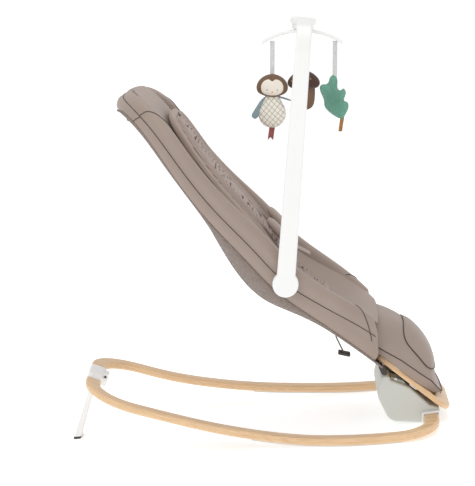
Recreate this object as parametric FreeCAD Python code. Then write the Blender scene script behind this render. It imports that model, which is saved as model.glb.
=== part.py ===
import FreeCAD, Part
import math
import os

V = FreeCAD.Vector

# Millimetres. X runs from the head end (-X) to the foot end (+X), Y across, Z up.
# Everything is laid out with the rockers level, and turned at the end to stand on the prop leg.

# ---- base loop: two bent plywood halves ------------------------------------------------------
rocker_radius = 1475.0
wood_width = 30.0
wood_thickness = 16.0
wood_edge_radius = 5.0
runner_spacing = 418.0
rear_spacing = 322.0
taper_start_x = -30.0
taper_end_x = -320.0
taper_blend_radius = 550.0
rear_cross_x = -481.0
front_cross_x = 236.0
rear_bend_radius = 90.0
front_bend_radius = 75.0
strip_thickness = 2.5
strip_width = 20.0
strip_rear_x = -142.0
strip_front_x = 170.0

# ---- rear bridge and prop leg ----------------------------------------------------------------
bridge_length = 110.0
bridge_body_length = 76.0
bridge_body_width = 34.0
bridge_body_height = 26.0
bridge_neck_width = 22.0
bridge_neck_height = 13.0
tenon_length = 15.0
tenon_width = 18.0
tenon_height = 7.0
tenon_clearance = 0.15
leg_pivot_drop = 2.0
leg_hub_radius = 9.5
leg_hub_width = 26.0
leg_length = 141.0
leg_lean = 16.5
leg_top_thickness = 10.0
leg_foot_thickness = 16.0
leg_foot_width = 50.0
leg_pad_thickness = 5.0
leg_pin_radius = 3.0
hub_side_gap = 0.35
running_clearance = 0.05
latch_length = 12.0
latch_width = 5.0
latch_height = 5.0
latch_travel = 2.5

# ---- housing ---------------------------------------------------------------------------------
housing_half_width = 88.0
housing_wall = 3.5
housing_floor_z = 20.0
housing_rear_x = 124.0
housing_edge_radius = 4.5
collar_length = 12.0
collar_wall = 3.0
wood_fit_clearance = 0.3
axle_x = 160.0
axle_z = 66.0
axle_radius = 5.0
axle_length = 112.0
bulkhead_y = 46.0
bulkhead_thickness = 6.0
mouth_half_width = 37.5
spring_x = 203.0
spring_y = 13.0
spring_wire_radius = 1.3
spring_radius = 6.5
spring_turns = 4.0
anchor_top_z = 26.0
anchor_width = 16.0
lever_underside_z = 48.0
lever_thickness = 7.0
bump_gap = 3.5
screw_radius = 2.0
screw_head_radius = 4.0
screw_head_height = 2.5

# ---- seat support ----------------------------------------------------------------------------
cradle_ear_y = 18.0
cradle_ear_thickness = 6.0
bracket_ear_y = 28.0
bracket_ear_thickness = 6.0
ear_radius = 14.0
bush_wall = 2.0
board_angle = 38.0
relief_angle = 22.0
relief_steps = 8
relief_gap = 0.8
board_top_x = 122.0
board_top_z = 171.0
board_length = 200.0
board_width = 222.0
board_thickness = 12.0
board_corner_radius = 42.0
board_edge_radius = 3.5
slot_width = 16.0
slot_length = 46.0
slot_row = 150.0
slot_side_y = 74.0
centre_slot_row = 172.0
bracket_start = 72.0
bracket_length = 50.0
bracket_half_width = 76.0
bracket_plate = 4.0
flange_drop = 6.5
lever_paddle_y = 100.0
lever_paddle_width = 14.0
lever_row = 24.0
lever_rod_radius = 4.0

# ---- seat frame ------------------------------------------------------------------------------
tube_radius = 8.0
tube_wall = 1.5
head_crown_x = -383.0
head_crown_z = 704.0
head_tube_reach = 150.0
head_bend_radius = 145.0
hip_x = -79.0
hip_z = 355.0
knee_x = 60.0
knee_z = 277.0
head_half_width = 176.0
hip_half_width = 184.0
knee_half_width = 172.0
tube_foot_y = 96.0
tube_foot_length = 62.0
tube_stand_off = 3.2
hub_x = -73.0
hub_z = 341.0
socket_outer_radius = 15.0
socket_bore_radius = 9.0
socket_depth = 11.0
cup_floor = 3.0

# ---- soft parts ------------------------------------------------------------------------------
cover_thickness = 20.0
soft_gap = 0.8
tube_channel_gap = 0.5
head_split_x = -335.0
under_cover_thickness = 7.0
liner_thickness = 22.0
sling_thickness = 3.0

# ---- harness -----------------------------------------------------------------------------------
pad_lift = 43.0
pad_stations = (-114.0, -98.0, -80.0, -62.0)
pad_thickness = 16.0
pad_corner = [5, 0, 0, 5, 5, 0, 0, 5]
pad_inner_y = 40.0
pad_outer_y = 92.0
buckle_x = -66.0
buckle_lean = 46.0
button_well_floor = 0.2

# ---- toy bar ---------------------------------------------------------------------------------
toy_hub_radius = 26.5
toy_hub_thickness = 5.0
hub_face_gap = 1.0
arm_thickness = 12.0
arm_width_low = 38.0
arm_width_high = 31.0
arm_top_z = 863.0
arm_lean = 3.9
arm_bend_radius = 40.0
cap_radius = 27.0
cap_height = 11.0
bow_width = 12.0
bow_height = 7.0
bow_half_span = 84.0
bow_drop = 24.0
bow_centre_drop = 12.0
toy_pitch = 66.0
strap_width = 10.0
strap_thickness = 2.0

seat_outline_points = [
    (-424.0, 62.0), (-402.0, 124.0), (-352.0, 172.0), (-280.0, 193.0), (-150.0, 205.0), (-70.0, 206.0),
    (0.0, 200.0), (60.0, 180.0), (110.0, 142.0), (180.0, 122.0), (232.0, 104.0), (254.0, 56.0)]
seat_outline_rear_x = -429.0
seat_outline_front_x = 259.0


# ---- helpers ---------------------------------------------------------------------------------
def polar(angle):
    """Unit direction in the XZ plane at an angle in degrees above +X."""
    a = math.radians(angle)
    return V(math.cos(a), 0, math.sin(a))


def arc_corner(before, corner, after, radius):
    """Tangent points and middle of the arc that rounds one corner of a path."""
    back = (before - corner).normalize()
    ahead = (after - corner).normalize()
    half = back.getAngle(ahead) / 2
    reach = radius / math.tan(half)
    bisector = (back + ahead).normalize()
    centre = corner + bisector * (radius / math.sin(half))
    return corner + back * reach, centre - bisector * radius, corner + ahead * reach


def rounded_wire(points, radii, closed=False):
    """A wire of straight runs joined by tangent arcs, one radius per corner."""
    count = len(points)
    edges = []
    last = None if closed else points[0]
    first = None
    corners = range(count) if closed else range(1, count - 1)
    for i in corners:
        radius = radii[i] if closed else radii[i - 1]
        if radius <= 0:
            start = middle = end = points[i]
        else:
            start, middle, end = arc_corner(points[i - 1], points[i], points[(i + 1) % count], radius)
        if last is None:
            first = start
        elif (start - last).Length > 1e-6:
            edges.append(Part.LineSegment(last, start).toShape())
        if radius > 0:
            edges.append(Part.Arc(start, middle, end).toShape())
        last = end
    final = first if closed else points[-1]
    if (final - last).Length > 1e-6:
        edges.append(Part.LineSegment(last, final).toShape())
    return Part.Wire(edges)


def side_solid(outline, radii, y_low, y_high):
    """Solid from a rounded outline of (x, z) points, carried from y_low to y_high."""
    points = [V(x, y_low, z) for x, z in outline]
    if not isinstance(radii, list):
        radii = [radii] * len(points)
    face = Part.Face(rounded_wire(points, radii, closed=True))
    return face.extrude(V(0, y_high - y_low, 0))


def plan_solid(outline, radii, z_low, z_high):
    """Solid from a rounded outline of (x, y) points, carried from z_low to z_high."""
    points = [V(x, y, z_low) for x, y in outline]
    if not isinstance(radii, list):
        radii = [radii] * len(points)
    face = Part.Face(rounded_wire(points, radii, closed=True))
    return face.extrude(V(0, 0, z_high - z_low))


def centred_box(length, width, height, centre=V(0, 0, 0)):
    """Box centred on a point, length along X, width along Y, height along Z."""
    corner = centre - V(length / 2, width / 2, height / 2)
    return Part.makeBox(length, width, height, corner)


def rounded_box(length, width, height, radius, centre=V(0, 0, 0)):
    """Centred box with every edge rounded."""
    box = centred_box(length, width, height, centre)
    return box.makeFillet(radius, box.Edges)


def cross_cylinder(x, z, radius, y_low, y_high):
    """Cylinder along Y."""
    return Part.makeCylinder(radius, y_high - y_low, V(x, y_low, z), V(0, 1, 0))


def bent_tube(points, radii, radius, wall):
    """Round tube along a path of runs and arcs, hollow by its wall."""
    path = rounded_wire(points, radii)
    direction = (points[1] - points[0]).normalize()
    solids = []
    for r in (radius, radius - wall):
        circle = Part.Wire(Part.makeCircle(r, points[0], direction))
        solids.append(path.makePipeShell([circle], True, False))
    return solids[0].cut(solids[1]) if wall < radius else solids[0]


def solid_rod(points, radii, radius):
    """Solid round bar along a path of runs and arcs."""
    path = rounded_wire(points, radii)
    circle = Part.Wire(Part.makeCircle(radius, points[0], (points[1] - points[0]).normalize()))
    return path.makePipeShell([circle], True, False)


def mirrored(shape):
    """The same shape on the other side of the XZ plane."""
    return shape.mirror(V(0, 0, 0), V(0, 1, 0))


def thick_profile(points, thickness):
    """Outline of (x, z) points for a sheet: the line given, and its copy moved up by the thickness."""
    upper = []
    for i, (x, z) in enumerate(points):
        x0, z0 = points[max(i - 1, 0)]
        x1, z1 = points[min(i + 1, len(points) - 1)]
        run = math.hypot(x1 - x0, z1 - z0)
        upper.append((x - (z1 - z0) / run * thickness, z + (x1 - x0) / run * thickness))
    return points + upper[::-1]


def to_frame(shape, angle, origin):
    """Turn a shape about Y by an angle in degrees, nose down, and move it to an origin."""
    turned = shape.copy()
    turned.rotate(V(0, 0, 0), V(0, 1, 0), angle)
    turned.translate(origin)
    return turned


# ---- the line that the rockers follow --------------------------------------------------------
def rocker_point(x, offset):
    """Point above the rocking line at plan distance x, offset square to the line."""
    radius = rocker_radius - offset
    angle = math.asin(x / radius)
    return V(x, 0, rocker_radius - radius * math.cos(angle))


def rocker_angle(x, offset):
    """Slope of the offset rocking line at x, in degrees, rising towards +X."""
    return math.degrees(math.asin(x / (rocker_radius - offset)))


def rocker_band(low, high, x_rear, x_front):
    """Face between two offsets of the rocking line, cut off along its own normals."""
    edges = []
    ends = []
    for offset in (low, high):
        p = [rocker_point(x * (1 - offset / rocker_radius), offset)
             for x in (x_rear, (x_rear + x_front) / 2, x_front)]
        edges.append(Part.Arc(p[0], p[1], p[2]).toShape())
        ends.append((p[0], p[2]))
    edges.insert(1, Part.LineSegment(ends[0][1], ends[1][1]).toShape())
    edges.append(Part.LineSegment(ends[1][0], ends[0][0]).toShape())
    return Part.Face(Part.Wire(Part.sortEdges(edges)[0]))


wood_low = strip_thickness
wood_middle = wood_low + wood_thickness / 2
wood_high = wood_low + wood_thickness
runner_y = runner_spacing / 2
rear_y = rear_spacing / 2
wood_end_rear_y = bridge_length / 2
wood_end_front_y = housing_half_width - 16.0
half_wood = wood_width / 2


def loop_path(y_rear, y_front, offset):
    """Corner points and radii in plan of half the loop, offset outwards from its centre line."""
    taper = math.atan2(runner_y - rear_y, taper_start_x - taper_end_x)
    slip = offset * math.tan(taper / 2)
    points = [V(rear_cross_x - offset, y_rear, 0), V(rear_cross_x - offset, rear_y + offset, 0),
              V(taper_end_x - slip, rear_y + offset, 0), V(taper_start_x - slip, runner_y + offset, 0),
              V(front_cross_x + offset, runner_y + offset, 0), V(front_cross_x + offset, y_front, 0)]
    radii = [rear_bend_radius + offset, taper_blend_radius - offset, taper_blend_radius + offset,
             front_bend_radius + offset]
    return points, radii


def loop_solid(width, low, high, y_rear, y_front):
    """Half of the base loop: the plan outline cut from a sheet bent to the rocking radius."""
    outer_points, outer_radii = loop_path(y_rear, y_front, width / 2)
    inner_points, inner_radii = loop_path(y_rear, y_front, -width / 2)
    points = outer_points + inner_points[::-1]
    radii = [0] + outer_radii + [0, 0] + inner_radii[::-1] + [0]
    plan = Part.Face(rounded_wire(points, radii, closed=True))
    plan.translate(V(0, 0, -40))
    band = rocker_band(low, high, rear_cross_x - 60, front_cross_x + 60)
    return plan.extrude(V(0, 0, 400)).common(band.extrude(V(0, runner_spacing, 0)))


def round_long_edges(solid, radius):
    """Round every edge of a bar except those of its two cut ends."""
    ends = (min(v.Y for v in solid.Vertexes), wood_end_front_y)
    edges = []
    for edge in solid.Edges:
        flat = edge.BoundBox.YLength < 0.01
        at_end = any(abs(edge.BoundBox.YMin - y) < 0.01 for y in ends)
        short = edge.Length < wood_width + 1 and not flat
        if not (flat and at_end) and not short:
            edges.append(edge)
    return solid.makeFillet(radius, edges)


rocker = loop_solid(wood_width, wood_low, wood_high, wood_end_rear_y, wood_end_front_y)
rocker = round_long_edges(rocker, wood_edge_radius)

bridge_origin = rocker_point(rear_cross_x, wood_middle)
bridge_angle = -rocker_angle(rear_cross_x, wood_middle)


def bridge_frame(shape):
    """Move a shape from the rear cross piece's own axes to its place."""
    return to_frame(shape, bridge_angle, bridge_origin)


def front_bar(margin, y_low, y_high):
    """The front cross piece's own section, grown by a margin, between two places across."""
    band = rocker_band(wood_low - margin, wood_high + margin, front_cross_x - 60, front_cross_x + 60)
    bar = band.extrude(V(0, y_high - y_low, 0))
    bar.translate(V(0, y_low, 0))
    half = half_wood + margin
    return bar.common(Part.makeBox(2 * half, 2 * runner_spacing, 400, V(front_cross_x - half, -runner_spacing, -40)))


mortise = centred_box(tenon_width + 2 * tenon_clearance, 2 * tenon_length + 2,
                      tenon_height + 2 * tenon_clearance, V(0, wood_end_rear_y, 0))
bridge_screw_y = wood_end_rear_y + tenon_length / 2


def bridge_screw(y):
    """Countersunk screw up through the wood into the tenon."""
    shank = Part.makeCylinder(screw_radius, wood_thickness / 2 + tenon_height / 2 - 1,
                              V(0, y, -wood_thickness / 2))
    head = Part.makeCone(screw_head_radius, screw_radius, screw_head_height, V(0, y, -wood_thickness / 2))
    return shank.fuse(head)


rear_screws = [bridge_frame(bridge_screw(side * bridge_screw_y)) for side in (1, -1)]
rocker = rocker.cut(bridge_frame(mortise)).cut(rear_screws[0])


def strip(x_rear, x_front):
    """Anti-slip strip bonded under a runner."""
    band = loop_solid(strip_width, 0, strip_thickness, wood_end_rear_y, wood_end_front_y)
    return band.common(Part.makeBox(x_front - x_rear, runner_spacing, 200, V(x_rear, 0, -20)))


anti_slip = strip(strip_rear_x, strip_front_x)

# ---- rear bridge -----------------------------------------------------------------------------
bridge = rounded_box(bridge_body_width, bridge_body_length, bridge_body_height, 6)
neck = centred_box(bridge_neck_width, bridge_length, bridge_neck_height)
neck = neck.makeFillet(4, [e for e in neck.Edges if e.BoundBox.YLength > bridge_length - 1])
tenon = centred_box(tenon_width, bridge_length + 2 * tenon_length - 1, tenon_height)
lug = rounded_box(20, 20, 18, 4, V(bridge_body_width / 2, -25, 0))
bridge = bridge.fuse(neck).fuse(tenon).fuse(lug).fuse(mirrored(lug))
leg_slot_width = leg_hub_width + 2 * hub_side_gap
slot_top = leg_hub_radius - leg_pivot_drop + 0.6
leg_slot = Part.makeBox(80, leg_slot_width, 40, V(-40, -leg_slot_width / 2, slot_top - 40))
leg_pin_half = leg_hub_width / 2 + 16.0
pin_hole = cross_cylinder(0, -leg_pivot_drop, leg_pin_radius, -leg_pin_half, leg_pin_half)
latch_x = bridge_body_width / 2 + 3.5
latch_well = centred_box(latch_width + 0.6, latch_length + 0.6, 18, V(latch_x, -25, 4))
bridge = bridge.cut(leg_slot).cut(pin_hole).cut(latch_well)
bridge = bridge.cut(bridge_screw(bridge_screw_y)).cut(bridge_screw(-bridge_screw_y))
rear_bridge = bridge_frame(bridge)
latch = rounded_box(latch_width, latch_length, latch_height + 6, 1.2, V(latch_x, -25, 5.5))
kickstand_latch = bridge_frame(latch)

# ---- prop leg --------------------------------------------------------------------------------
leg_pivot = bridge_origin + to_frame(Part.Vertex(0, 0, -leg_pivot_drop), bridge_angle, V(0, 0, 0)).Point
foot_point = leg_pivot + polar(-90 - leg_lean) * leg_length
rise = rocker_radius - foot_point.z
reach = math.hypot(rise, foot_point.x)
stand_angle = math.degrees(math.acos(rocker_radius / reach)) + math.degrees(math.atan2(foot_point.x, rise))
floor_rise = rocker_radius * (1 - math.cos(math.radians(stand_angle)))


def floor_block(low, high):
    """A block between two heights above the floor, laid out on the level rockers."""
    block = Part.makeBox(2000, 800, high - low, V(-1000, -400, low - floor_rise))
    block.rotate(V(0, 0, 0), V(0, 1, 0), -stand_angle)
    return block


def leg_section(distance, thickness, width):
    """Rounded section of the prop leg, square to it, at a distance from its pivot."""
    corner = thickness * 0.3
    points = [V(-thickness / 2, -width / 2, 0), V(thickness / 2, -width / 2, 0),
              V(thickness / 2, width / 2, 0), V(-thickness / 2, width / 2, 0)]
    wire = rounded_wire(points, [corner] * 4, closed=True)
    wire.translate(V(0, 0, -distance))
    return wire


leg_bar = Part.makeLoft([leg_section(0, leg_top_thickness, leg_hub_width),
                         leg_section(leg_length * 0.35, leg_top_thickness * 1.15, leg_hub_width * 1.1),
                         leg_section(leg_length + 25, leg_foot_thickness, leg_foot_width)], True, False)
leg_bar.rotate(V(0, 0, 0), V(0, 1, 0), leg_lean)
leg_bar.translate(leg_pivot)
leg_hub = cross_cylinder(leg_pivot.x, leg_pivot.z, leg_hub_radius, -leg_hub_width / 2, leg_hub_width / 2)
leg_bore = cross_cylinder(leg_pivot.x, leg_pivot.z, leg_pin_radius + running_clearance, -40, 40)
kickstand = leg_bar.fuse(leg_hub).common(floor_block(leg_pad_thickness, 600)).cut(leg_bore)
kickstand_pad = leg_bar.common(floor_block(0, leg_pad_thickness))
kickstand_pin = cross_cylinder(leg_pivot.x, leg_pivot.z, leg_pin_radius, -leg_pin_half, leg_pin_half)

# ---- housing ---------------------------------------------------------------------------------
def bracket_relief():
    """Space that the board's bracket sweeps through as the seat reclines and bounces, with its clearance."""
    plate = centred_box(bracket_length + 2 * relief_gap, 2 * (bracket_half_width + relief_gap),
                        bracket_plate + screw_head_height + relief_gap,
                        V(bracket_start + bracket_length / 2, 0,
                          -board_thickness - (bracket_plate + screw_head_height + relief_gap) / 2))
    plate = to_frame(plate, board_angle, V(board_top_x, 0, board_top_z))
    swept = plate
    for step in range(1, relief_steps + 1):
        turned = plate.copy()
        turned.rotate(V(axle_x, 0, axle_z), V(0, -1, 0), relief_angle * step / relief_steps)
        swept = swept.fuse(turned)
    return swept


wall = housing_wall
floor_z = housing_floor_z
ridge_x = housing_rear_x + 27.0
ridge_z = axle_z + 41.0
housing_outline = [(housing_rear_x + 7, 117), (housing_rear_x + 24, 115.5), (ridge_x, ridge_z),
                   (ridge_x + 40, 91), (front_cross_x - 2, 53), (front_cross_x + 19, 47),
                   (front_cross_x + 17, 19), (212, floor_z - 5), (150, floor_z - 3), (housing_rear_x - 3, 74)]
housing_radii = [11, 6, 0, 10, 9, 5, 8, 10, 26, 40]
outer_face = Part.Face(rounded_wire([V(x, 0, z) for x, z in housing_outline], housing_radii, closed=True))
pod = outer_face.extrude(V(0, 2 * housing_half_width, 0))
pod.translate(V(0, -housing_half_width, 0))
side_edges = [e for e in pod.Edges if e.BoundBox.YLength < 0.01]
pod_rounded = pod.makeFillet(housing_edge_radius, side_edges)
inner_face = outer_face.makeOffset2D(-wall)
cavity_width = 2 * (housing_half_width - wall)
cavity = inner_face.extrude(V(0, cavity_width, 0))
cavity.translate(V(0, -cavity_width / 2, 0))
bulkheads = [cavity.common(centred_box(400, bulkhead_thickness, 400, V(160, side * bulkhead_y, 80)))
             for side in (1, -1)]
anchor = cavity.common(Part.makeBox(anchor_width, 2 * bulkhead_y, 40,
                                    V(spring_x - anchor_width / 2, -bulkhead_y, anchor_top_z - 40)))
shell = pod_rounded.cut(cavity)
for piece in bulkheads + [anchor]:
    shell = shell.fuse(piece)
axle_hole = cross_cylinder(axle_x, axle_z, axle_radius, -axle_length / 2 - 1, axle_length / 2 + 1)
wood_clear = wood_fit_clearance
socket_cut = front_bar(wood_clear, wood_end_front_y - wood_clear, runner_y)
socket_wall = front_bar(collar_wall + 1, housing_half_width - wall - 20, housing_half_width - wall + 0.01)
socket_wall = socket_wall.common(pod_rounded)
for side_shape in (socket_wall, mirrored(socket_wall)):
    shell = shell.fuse(side_shape)
cap_cut = side_solid([(ridge_x + 0.5, 200), (ridge_x + 0.5, ridge_z - wall * 1.2), (ridge_x + 40, 91 - wall * 1.2),
                      (front_cross_x - 16, 58), (front_cross_x - 16, 200)], 0, -200, 200)
cap_piece = pod_rounded.cut(cavity).common(cap_cut)
cap_ridge = side_solid([(ridge_x + 0.5, ridge_z - 6), (ridge_x + 1.5, 113), (ridge_x + 18, 112),
                        (ridge_x + 36, 91)], [0, 3, 5, 0], -74, 74)
cap_piece = cap_piece.fuse(cap_ridge.cut(cavity))
shell = shell.cut(cap_cut).cut(cap_ridge)
mouth = Part.makeBox(76, 2 * mouth_half_width, 90, V(ridge_x - 18, -mouth_half_width, axle_z + 10))
plate_length = 40.0
plate_half_width = bulkhead_y - bulkhead_thickness / 2 - 4
plate_rear_x = 152.0
base_opening = Part.makeBox(plate_length, 2 * plate_half_width, 20, V(plate_rear_x, -plate_half_width, floor_z - 10))
shell = shell.cut(axle_hole).cut(socket_cut).cut(mirrored(socket_cut))
swing_relief = bracket_relief()
housing_shell = shell.cut(mouth).cut(base_opening).cut(swing_relief)
housing_cap = cap_piece.cut(mouth).cut(swing_relief)
plate_gap = 0.3
housing_base_plate = Part.makeBox(plate_length - 2 * plate_gap, 2 * (plate_half_width - plate_gap), 3,
                                  V(plate_rear_x + plate_gap, -plate_half_width + plate_gap, floor_z - 3))

cap_screw = cross_cylinder(ridge_x + 10, 105, screw_head_radius, -74 - screw_head_height, -74)
cap_screw = cap_screw.fuse(cross_cylinder(ridge_x + 10, 105, screw_radius, -74.01, -62))
housing_cap = housing_cap.cut(cap_screw).cut(mirrored(cap_screw))
plate_screws = []
for x in (plate_rear_x + 7, plate_rear_x + plate_length - 7):
    for y in (-plate_half_width + 7, plate_half_width - 7):
        plate_screws.append(Part.makeCylinder(screw_head_radius, 2, V(x, y, floor_z - 5)))
housing_screws = Part.Compound([cap_screw, mirrored(cap_screw)] + plate_screws)
pivot_axle = cross_cylinder(axle_x, axle_z, axle_radius, -axle_length / 2, axle_length / 2)
clip_y = bulkhead_y + bulkhead_thickness / 2 + 0.3
clip = cross_cylinder(axle_x, axle_z, axle_radius + 3, clip_y, clip_y + 2)
clip = clip.cut(cross_cylinder(axle_x, axle_z, axle_radius, clip_y - 1, clip_y + 3))
axle_clips = Part.Compound([clip, mirrored(clip)])

collar = front_bar(collar_wall + 1, housing_half_width, housing_half_width + collar_length)
collar = collar.makeFillet(2.5, collar.Edges)
collar = collar.cut(socket_cut)

# ---- sprung cradle ---------------------------------------------------------------------------
bush_outer = axle_radius + running_clearance + bush_wall


def ear_pair(outline_solid, y, thickness):
    """The same plate cut from a side outline at both sides of the middle."""
    plates = []
    for side in (1, -1):
        centre_y = side * (y + thickness / 2)
        slab = centred_box(800, thickness, 800, V(0, centre_y, 0))
        plates.append(outline_solid.common(slab))
    return plates


lever_top_z = lever_underside_z + lever_thickness
lever_end_x = spring_x + 9
cradle_side = side_solid([(axle_x, lever_underside_z + 6), (lever_end_x, lever_underside_z),
                          (lever_end_x, lever_top_z), (axle_x, axle_z + 10)], [0, 2, 2, 0], -60, 60)
cradle_side = cradle_side.fuse(cross_cylinder(axle_x, axle_z, ear_radius, -60, 60))
cradle_ears = ear_pair(cradle_side, cradle_ear_y, cradle_ear_thickness)
cradle_half = cradle_ear_y + cradle_ear_thickness
lever_bar = Part.makeBox(18, 2 * cradle_half, lever_thickness, V(spring_x - 9, -cradle_half, lever_underside_z))
cradle = cradle_ears[0].fuse(cradle_ears[1]).fuse(lever_bar)
ear_bore = cross_cylinder(axle_x, axle_z, bush_outer, -60, 60)
cradle = cradle.cut(ear_bore)


def bush(y, length):
    """Plain bush on the axle."""
    ring = cross_cylinder(axle_x, axle_z, bush_outer, y, y + length)
    return ring.cut(cross_cylinder(axle_x, axle_z, axle_radius + running_clearance, y - 1, y + length + 1))


cradle_bush = bush(cradle_ear_y, cradle_ear_thickness)
cradle_bushes = Part.Compound([cradle_bush, mirrored(cradle_bush)])


def coil_spring(x, y, z_low, z_high):
    """Compression spring with a round wire, standing on z_low."""
    height = z_high - z_low - 2 * spring_wire_radius - 0.4
    helix = Part.makeHelix(height / spring_turns, height, spring_radius)
    wire = Part.Wire(Part.makeCircle(spring_wire_radius, V(spring_radius, 0, 0), V(0, 1, 0)))
    coil = Part.Wire(helix.Edges).makePipeShell([wire], True, True)
    coil.translate(V(x, y, z_low + spring_wire_radius + 0.2))
    return coil


springs = [coil_spring(spring_x, side * spring_y, anchor_top_z, lever_underside_z) for side in (1, -1)]
bounce_springs = Part.Compound(springs)
cap_slope = (91.0 - 53.0) / (front_cross_x - 2 - ridge_x - 40)
cap_inner_z = 91.0 - cap_slope * (spring_x - ridge_x - 40) - wall * math.hypot(1, cap_slope)
bump_top_z = cap_inner_z - bump_gap - 4.5 * cap_slope
bump_stop = Part.makeCylinder(4.5, bump_top_z - lever_top_z, V(spring_x, 0, lever_top_z))

# ---- board and its bracket -------------------------------------------------------------------
board_origin = V(board_top_x, 0, board_top_z)


def board_frame(shape):
    """Move a shape from the board's own axes (X down its slope, Z out of its top) to its place."""
    return to_frame(shape, board_angle, board_origin)


def board_local(x, z):
    """Board coordinates of a point in the XZ plane."""
    slope = math.radians(board_angle)
    dx = x - board_top_x
    dz = z - board_top_z
    return (dx * math.cos(slope) - dz * math.sin(slope), dx * math.sin(slope) + dz * math.cos(slope))


half_board = board_width / 2
board_plan = plan_solid([(0, -half_board + 6), (0, half_board - 6), (board_length, half_board - 10),
                         (board_length, -half_board + 10)],
                        [14, 14, board_corner_radius, board_corner_radius], -board_thickness, 0)
board_rims = [e for e in board_plan.Edges if e.BoundBox.ZLength < 0.01]
board_body = board_plan.makeFillet(board_edge_radius, board_rims)


def strap_slot(row, y):
    """Rounded slot through the board, long across it."""
    half = slot_length / 2
    ends = [(row - slot_width / 2, y - half), (row + slot_width / 2, y - half),
            (row + slot_width / 2, y + half), (row - slot_width / 2, y + half)]
    return plan_solid(ends, slot_width / 2 - 0.5, -board_thickness - 1, 1)


for row, y in ((slot_row, slot_side_y), (slot_row, -slot_side_y), (centre_slot_row, 0)):
    board_body = board_body.cut(strap_slot(row, y))
axle_local_x, axle_local_z = board_local(axle_x, axle_z)
board_under = -board_thickness
plate = centred_box(bracket_length, 2 * bracket_half_width, bracket_plate,
                    V(bracket_start + bracket_length / 2, 0, board_under - bracket_plate / 2))
plate = plate.makeFillet(1.5, [e for e in plate.Edges if e.BoundBox.ZLength > bracket_plate - 0.1])
flange_low = board_under - flange_drop
flange_outline = [(bracket_start + 26, board_under - 1), (bracket_start + bracket_length, board_under - 1),
                  (bracket_start + bracket_length - 3, flange_low), (bracket_start + 30, flange_low)]
flange = side_solid(flange_outline, [0, 0, 4, 4], bracket_half_width - 4, bracket_half_width)
ear_outline = [(axle_local_x - ear_radius - 8, board_under - 1), (axle_local_x + ear_radius - 1, board_under - 1),
               (axle_local_x + ear_radius, axle_local_z), (axle_local_x, axle_local_z - ear_radius),
               (axle_local_x - ear_radius, axle_local_z)]
ear_sheet = side_solid(ear_outline, [0, 0, ear_radius * 0.4, 0, ear_radius * 0.4], -60, 60)
bracket = plate.fuse(flange).fuse(mirrored(flange))
for ear in ear_pair(ear_sheet, bracket_ear_y, bracket_ear_thickness):
    bracket = bracket.fuse(ear)
bracket_bore = Part.makeCylinder(bush_outer, 160, V(axle_local_x, -80, axle_local_z), V(0, 1, 0))
bracket = bracket.cut(bracket_bore)
bracket_bush = bush(bracket_ear_y, bracket_ear_thickness)
bracket_bushes = Part.Compound([bracket_bush, mirrored(bracket_bush)])

board_screw_list = []
for x in (bracket_start + 9, bracket_start + bracket_length - 9):
    for y in (-54.0, 54.0):
        shank = Part.makeCylinder(screw_radius, board_thickness + bracket_plate, V(x, y, board_under - bracket_plate))
        head = Part.makeCylinder(screw_head_radius + 1, screw_head_height, V(x, y, 0))
        board_screw_list.append(shank.fuse(head))
for screw in board_screw_list:
    board_body = board_body.cut(screw)
    bracket = bracket.cut(screw)

# ---- seat frame tubes ------------------------------------------------------------------------
tube_height = tube_radius + tube_stand_off


def on_board(x, y, height):
    """Point in space given by its place along, across and above the board."""
    slope = math.radians(board_angle)
    return V(board_top_x + x * math.cos(slope) + height * math.sin(slope), y,
             board_top_z - x * math.sin(slope) + height * math.cos(slope))


side_points = [on_board(tube_foot_length, tube_foot_y, tube_height), on_board(2, tube_foot_y, tube_height),
               V(knee_x, knee_half_width, knee_z), V(hip_x, hip_half_width, hip_z),
               V(head_crown_x, head_half_width, head_crown_z)]
frame_points = side_points + [V(p.x, -p.y, p.z) for p in side_points[::-1]]
frame_radii = [40, 60, 110, head_bend_radius]
frame_radii = frame_radii + frame_radii[::-1]
frame_tube = bent_tube(frame_points, frame_radii, tube_radius, tube_wall)
frame_channel = solid_rod(frame_points, frame_radii, tube_radius + tube_channel_gap)
back_angle = math.degrees(math.atan2(head_crown_z - hip_z, head_crown_x - hip_x))
head_side = Part.makeBox(600, 800, 800, V(0, -400, -400))
head_side.rotate(V(0, 0, 0), V(0, 1, 0), -back_angle)
head_side.translate(V(head_crown_x, 0, head_crown_z) - polar(back_angle) * head_tube_reach)
head_tube = frame_tube.common(head_side)
side_tubes = frame_tube.cut(head_side).Solids
side_tube = max(side_tubes, key=lambda solid: solid.CenterOfMass.y)

clamp_length = 16.0
clamps = []
for x in (30.0, 51.0):
    block = centred_box(clamp_length, 30, tube_height, V(x, tube_foot_y, tube_height / 2))
    saddle = Part.makeCylinder(tube_radius + 3, clamp_length, V(x - clamp_length / 2, tube_foot_y, tube_height),
                               V(1, 0, 0))
    bore = Part.makeCylinder(tube_radius, clamp_length + 60, V(x - 30, tube_foot_y, tube_height), V(1, 0, 0))
    clamp = board_frame(block.fuse(saddle).cut(bore))
    clamps += [clamp, mirrored(clamp)]
tube_clamps = Part.Compound(clamps)

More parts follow.
